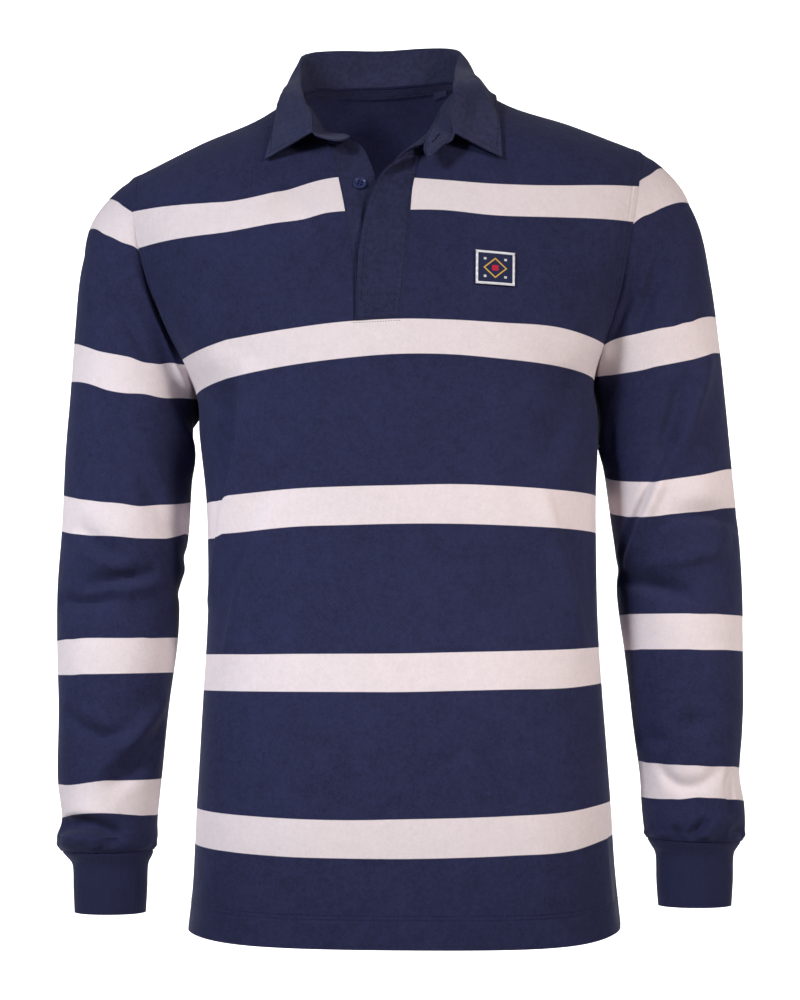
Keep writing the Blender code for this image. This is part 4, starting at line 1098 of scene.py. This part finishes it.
# the motif's sizes, where the field reaches from -1 to 1
DIAMOND, DIAMOND_LINE, SQUARE, DOT, DOT_PLACES = 0.56, 0.055, 0.17, 0.075, (-0.52, 0.52)
MOTIF_SHARPNESS, THREAD_SHARPNESS = 60, 4
BADGE_SWELL = 0.7                               # the border stands up this far


def laid_on(across, height, rise):
    """Points this far off the front's cloth, square to it."""
    here = body_point(across, height, -1)
    along, up = body_point(across + 1.0, height, -1) - here, body_point(across, height + 1.0, -1) - here
    return here + unit(np.cross(along, up)) * rise


def badge_colour(shade):
    """A gold diamond round a red square, a white dot in each corner and the border."""
    u, v = shade.mark("badge_across"), shade.mark("badge_up")

    def squared(x, y, size, colour, field):
        inside = (size - shade.maths("MAXIMUM", abs(u - x), abs(v - y))) * MOTIF_SHARPNESS
        return shade.mixed(inside.limited(), field, colour)

    gold = (abs(u) + abs(v)).line(DIAMOND, DIAMOND_LINE) * THREAD_SHARPNESS
    field = squared(0, 0, SQUARE, BADGE_RED, shade.mixed(gold.limited(), BADGE_NAVY, BADGE_GOLD))
    for x in DOT_PLACES:
        for y in DOT_PLACES:
            field = squared(x, y, DOT, BADGE_DOTS, field)
    border = (BADGE_BORDER - shade.mark("badge_rim")) * THREAD_SHARPNESS
    return shade.shaded(shade.mixed(border.limited(), field, BADGE_WHITE), shade.speckle(0.5) * 0.2 + 0.92)


def badge_relief(shade):
    twist = shade.mark("badge_along").wave(0.55) * (BADGE_BORDER - shade.mark("badge_rim")).limited()
    return twist * 0.4 + (shade.mark("badge_up") * 15.0).wave(0.5) * 0.3


woven_badge = material("woven_badge", badge_colour, badge_relief, 0.25, Roughness=0.7, Sheen_Weight=0.15)
u, v = np.meshgrid(even(BADGE_CELLS), even(BADGE_CELLS))
share, rise = u[..., None], v[..., None]
low_left, low_right, high_left, high_right = np.array(BADGE_CORNERS, float)
flat = ((low_left * (1 - share) + low_right * share) * (1 - rise)
        + (high_left * (1 - share) + high_right * share) * rise)
badge = laid_on(flat[..., 0], flat[..., 1], PANEL_GAP + BADGE)
rim = edge_distance(badge, "top bottom left right")
swell = BADGE_SWELL * np.sqrt(np.clip(1 - (rim / BADGE_BORDER - 0.5) ** 2 * 4, 0, 1))
beside = np.where(np.minimum(u, 1 - u) < np.minimum(v, 1 - v), v, u) * 30
badge_piece = cloth("chest_badge", [with_marks(badge, swell, u * 2 - 1, v * 2 - 1, rim, beside)], BADGE,
                    woven_badge, "badge",
                    ("badge_across", "badge_up", "badge_rim", "badge_along"))


# ---- Buttons -----------------------------------------------------------------------------------------
# Navy polyester buttons with a raised rim: one shows on the under placket, with four dark holes, and
# one is on the back of the open collar stand, where its holes don't show.

BUTTON_PROFILE = [(0.0, 1.55), (3.3, 1.55), (3.9, 1.75), (4.5, 2.25), (5.2, 2.4), (5.7, 2.1), (5.9, 1.4),
                  (5.7, 0.7), (5.0, 0.15), (0.0, 0.0)]
BUTTON_TURNS, BUTTON_SHANK = 48, 0.45
HOLE_RING, HOLE_RISE, HOLE_RADIUS, HOLE_TURNS = 1.8, 1.56, 0.85, 16
UNDER_BUTTON = (4.2, 1.68)                      # row and column of the under placket in 6 and 3 cells


def plastic(name, colour, roughness, shine=0.25):
    return material(name, lambda shade: shade.shaded(colour, shade.speckle(3.0) * 0.3 + 0.85),
                    lambda shade: shade.speckle(2.0), 0.05, 0.3, Roughness=roughness,
                    Specular_IOR_Level=shine)


def surface_at(grid, row, column):
    """A point of a grid and the direction its cloth faces there."""
    i, j = int(row), int(column)
    s, t = row - i, column - j
    a, b, c, d = grid[i, j], grid[i, j + 1], grid[i + 1, j + 1], grid[i + 1, j]
    spot = a * (1 - s) * (1 - t) + b * (1 - s) * t + c * s * t + d * s * (1 - t)
    return spot, unit(np.cross(c - a, d - b))


def circle(centre, side, up, radius, angles):
    return centre + radius * (np.outer(np.cos(angles), side) + np.outer(np.sin(angles), up))


def button(name, spot, facing, node):
    """A button turned on its profile, its back resting on the cloth, and the discs of its holes."""
    spot = spot + facing * BUTTON_SHANK
    side = unit(np.cross(facing, [0.3, 0.1, 1.0]))
    up = np.cross(facing, side)
    turns = np.arange(BUTTON_TURNS) * 2 * math.pi / BUTTON_TURNS
    rings = [circle(spot + facing * height, side, up, radius, turns)
             for radius, height in BUTTON_PROFILE[1:-1]]
    points = np.vstack([spot + facing * BUTTON_PROFILE[0][1], *rings, spot])
    faces, last = [], len(points) - 1
    for k in range(BUTTON_TURNS):
        after = (k + 1) % BUTTON_TURNS
        faces.append([1 + k, 1 + after, 0])
        for low in range(1, last - BUTTON_TURNS, BUTTON_TURNS):
            faces.append([low + BUTTON_TURNS + k, low + BUTTON_TURNS + after, low + after, low + k])
        faces.append([last, last - BUTTON_TURNS + after, last - BUTTON_TURNS + k])
    add_piece(name, points, faces, navy_plastic, (node,))
    centres = circle(spot + facing * HOLE_RISE, side, up, HOLE_RING, math.pi / 4 + np.arange(4) * math.pi / 2)
    turns = np.arange(HOLE_TURNS) * 2 * math.pi / HOLE_TURNS
    return np.vstack([circle(centre, side, up, HOLE_RADIUS, turns) for centre in centres])


navy_plastic = plastic("navy_button_plastic", (0.024, 0.030, 0.100, 1), 0.36)
# the button's holes are flat near-black discs laid on it: painted shade in the holes
dark_hole = plastic("button_hole_shadow", (0.002, 0.002, 0.005, 1), 0.9, 0.0)
spot, facing = surface_at(placket("right", UNDER_PLACKET_EDGE, 6, 3)[0], *UNDER_BUTTON)
holes = button("button_under_placket", spot, facing, "button_placket")
add_piece("button_under_placket_holes", holes, np.arange(4 * HOLE_TURNS).reshape(4, -1)[:, ::-1].tolist(),
          dark_hole)
spot, facing = surface_at(stand, STAND_CELLS / 2, PLACKET_COLUMNS / 2)
button("button_collar_stand", spot - facing * (TWILL + BUTTON_SHANK), -facing, "button_collar")


# ---- Stitching ---------------------------------------------------------------------------------------
# Navy thread in short even stitches: twin rows round the hem, one row beside each armhole, and rows
# inside the edges of the collar and plackets.

STITCH_TAPER = 0.28                             # share of a stitch from its middle to where it tapers
STITCH_SINK = 0.1                               # its ends go this far into the cloth
STRIPE_CLEAR = 1.08                             # the navy rows stop here, in off_stripe's measure
BOX_TOP = 22.0                                  # the placket's box of stitching is this tall


def stitches(name, surface, paths, pitch=2.9, length=2.1, breadth=0.42, height=0.3, thread=None):
    """Raised stitches along paths that are snapped to a piece's outer surface."""
    points, quads = SURFACES[surface]
    tree = BVHTree.FromPolygons(points.tolist(), quads.tolist())
    made, faces = [], []
    for path in paths:
        run = arc_length(path)
        count = int(run[-1] / pitch)
        for centre in (np.arange(count) + 0.5) * run[-1] / max(count, 1):
            start, end = point_at(path, run, centre + np.array([-0.5, 0.5]) * length)
            middle, normal = (np.array(found) for found in tree.find_nearest(Vector((start + end) / 2))[:2])
            way = unit(end - start)
            way = unit(way - normal * (way @ normal))
            over = np.cross(normal, way) * breadth / 2
            way = way * length
            a, b, c = (len(made) + k for k in range(3))
            made += [middle + way * end - normal * STITCH_SINK for end in (-0.5, 0.5)]
            for part in (middle - way * STITCH_TAPER, middle + way * STITCH_TAPER):
                made += [part + over, part + normal * height, part - over]
            d = c + 3
            faces += [[a, c + 1, c], [a, c + 2, c + 1], [c, c + 1, d + 1, d], [c + 1, c + 2, d + 2, d + 1],
                      [d, d + 1, b], [d + 1, d + 2, b]]
    add_piece(name, made, faces, thread or navy_thread)


def beside_edge(grid, column, distance):
    """The line this far along the rows from a grid's first or last column."""
    rows = grid if column == 0 else grid[:, ::-1]
    return np.array([point_at(row, run, distance) for row, run in zip(rows, arc_length(rows, 1))])


def below_edge(grid, row, distance):
    return beside_edge(grid.transpose(1, 0, 2), row, distance)


navy_thread = plastic("navy_thread", (0.030, 0.034, 0.092, 1), 0.7, 0.1)
dark_thread = plastic("dark_navy_thread", (0.006, 0.0065, 0.018, 1), 0.7, 0.0)
across = np.linspace(-1, 1, 260) * BODY.read("half_width", HEM) * 0.999
for name, face in (("front", -1), ("back", 1)):
    stitches(f"hem_stitches_{name}", f"{name}_jersey",
             [body_point(across, hem_height(across) + above, face) for above in HEM_STITCHES])
for name, patches, armholes in (("front", front_patches(), (0, -1)), ("back", back_patches(), (-1, 0))):
    lines = []
    for patch, column in zip(patches, armholes):
        line = beside_edge(patch[SIDE_ROWS + 2:, :, :5], column, ARMHOLE_STITCH)
        pink = line[:, 4] < STRIPE_CLEAR
        lines += np.split(line[:, :3], np.flatnonzero(np.diff(pink)) + 1)[int(pink[0])::2]
    stitches(f"armhole_stitches_{name}", f"{name}_jersey", lines)
for name, inset, thread in (("leaf_edge_stitches", 1.2, navy_thread),
                            ("leaf_inner_stitches", 5.0, dark_thread)):
    rows = [below_edge(leaf[:, 3:-3], -1, inset)]
    rows += [beside_edge(leaf[6:-2], column, inset) for column in (0, -1)]
    stitches(name, "collar_leaf_cloth", rows, 2.6, 1.9, 0.55, 0.15, thread)
tab = stand[:, -PLACKET_COLUMNS - 3:-1]
tab = tab + 3 * TWILL * unit(np.cross(np.gradient(tab, axis=1), np.gradient(tab, axis=0)))
rows = [below_edge(tab, row, inset) for row, inset in ((0, 2.5), (-1, 2.5), (-1, 4.5))]
stitches("stand_stitches", "collar_stand_cloth", rows, 2.2, 1.5, 0.6, 0.15, dark_thread)
buttonhole = curve_through(tab[STAND_CELLS // 2], np.linspace(0.42, 0.78, 12))
stitches("collar_buttonhole", "collar_stand_cloth", [buttonhole], 0.8, 0.7, 2.0, 0.2, dark_thread)
rows = [beside_edge(top[:6], 0, 1.8), beside_edge(top, -1, 1.8)]
rows += [below_edge(top[:, 1:-1], 0, inset) for inset in (1.2, BOX_TOP - 1.8, BOX_TOP)]
foot, crown = (below_edge(top[:, 1:-1], 0, inset) for inset in (BOX_TOP / 2 - 3, BOX_TOP - 3))
share = np.abs(np.linspace(-1, 1, len(foot)))[:, None] ** 1.5
rows.append(foot * (1 - share) + crown * share)
stitches("top_placket_stitches", "top_placket", rows, 2.2, 1.5, 0.5, 0.12, dark_thread)
# a near-black line of tiny flat stitches just inside the top placket's free edge: painted shadow where it
# laps over the under placket
stitches("placket_edge_painted_shadow", "top_placket", [beside_edge(top[1:-2], 0, 0.5)], 1.2, 1.1, 0.3, 0.05, dark_thread)
below_slit = body_point(np.linspace(-33, 7, 30), SLIT_FOOT - 2.2, -1)
stitches("placket_foot_stitches", "front_jersey", [below_slit], 2.2, 1.5, 0.4, 0.12, dark_thread)
stitches("under_placket_stitches", "under_placket", [beside_edge(under[3:], -1, 1.8)])


# ---- Room, light and camera --------------------------------------------------------------------------
# A seamless pale sweep far below and behind the hanging shirt, two soft lights in front, a weak one
# inside the collar, two on the backdrop, and the camera low in front of the chest.

FLOOR, SWEEP_RADIUS, SWEEP_START = -1.5, 1.2, 2.2
SWEEP_FRONT, SWEEP_TOP, SWEEP_SIDE = -4.0, 4.0, 5.0


def sweep():
    """Floor and backdrop in one smooth sheet, clear from behind."""
    line = [(SWEEP_FRONT, FLOOR), (SWEEP_START, FLOOR)]
    line += [(SWEEP_START + SWEEP_RADIUS * math.sin(a), FLOOR + SWEEP_RADIUS * (1 - math.cos(a)))
             for a in np.linspace(0.1, math.pi / 2, 14)]
    line.append((SWEEP_START + SWEEP_RADIUS, SWEEP_TOP))
    points = [(x, y, z) for y, z in line for x in (-SWEEP_SIDE, SWEEP_SIDE)]
    mesh = bpy.data.meshes.new("sweep")
    mesh.from_pydata(points, [], [(k, k + 1, k + 3, k + 2) for k in range(0, len(points) - 2, 2)])
    mesh.shade_smooth()
    paint, shader, start = principled("white_paint", Base_Color=(0.93, 0.93, 0.93, 1), Roughness=0.9)
    behind = start.node("ShaderNodeNewGeometry", output="Backfacing")
    seen = start.node("ShaderNodeMixShader", {0: behind, 1: Shade(paint.node_tree, shader.outputs["BSDF"]),
                                              2: start.node("ShaderNodeBsdfTransparent")})
    paint.node_tree.links.new(seen.socket, paint.node_tree.nodes["Material Output"].inputs["Surface"])
    mesh.materials.append(paint)
    return linked(bpy.data.objects.new("sweep", mesh))


def soft_light(name, place, aim, size, power, colour=(1, 1, 1), spread=180):
    data = bpy.data.lights.new(name, "AREA")
    data.shape, data.size, data.size_y = "RECTANGLE", *size
    data.energy, data.color, data.spread = power, colour, math.radians(spread)
    made = linked(bpy.data.objects.new(name, data))
    made.location = place
    made.rotation_euler = (Vector(aim) - Vector(place)).to_track_quat("-Z", "Y").to_euler()


sweep()
world = bpy.data.worlds.new("studio")
world.use_nodes = True
world.node_tree.nodes["Background"].inputs["Color"].default_value = (1.0, 1.0, 1.0, 1)
world.node_tree.nodes["Background"].inputs["Strength"].default_value = 0.10
bpy.context.scene.world = world
bpy.context.scene.view_settings.view_transform = "Standard"
soft_light("key", (-2.0, -2.0, 0.75), (-0.13, 0, -0.40), (0.8, 0.8), 2.44, (0.90, 0.955, 1.0), 23)
soft_light("fill", (2.0, -2.1, 0.55), (0.16, 0, -0.40), (0.8, 0.8), 1.86, (1.0, 0.95, 0.88), 23)
soft_light("inside", (0, -0.05, -0.16), (0, 0.08, -0.05), (0.16, 0.12), 0.13)
soft_light("backdrop_left", (-1.8, 1.6, 0.6), (-0.4, 3.4, -0.3), (0.8, 1.6), 90)
soft_light("backdrop_right", (1.8, 1.6, 0.6), (0.4, 3.4, -0.3), (0.8, 1.6), 90)

lens = bpy.data.cameras.new("camera")
lens.sensor_fit, lens.sensor_width, lens.lens = "HORIZONTAL", 36.0, 112.5
camera = linked(bpy.data.objects.new("camera", lens))
camera.location = (0.015, -2.2, -0.48)
camera.rotation_euler = (math.radians(90 + 3.43), 0, 0)
bpy.context.scene.camera = camera
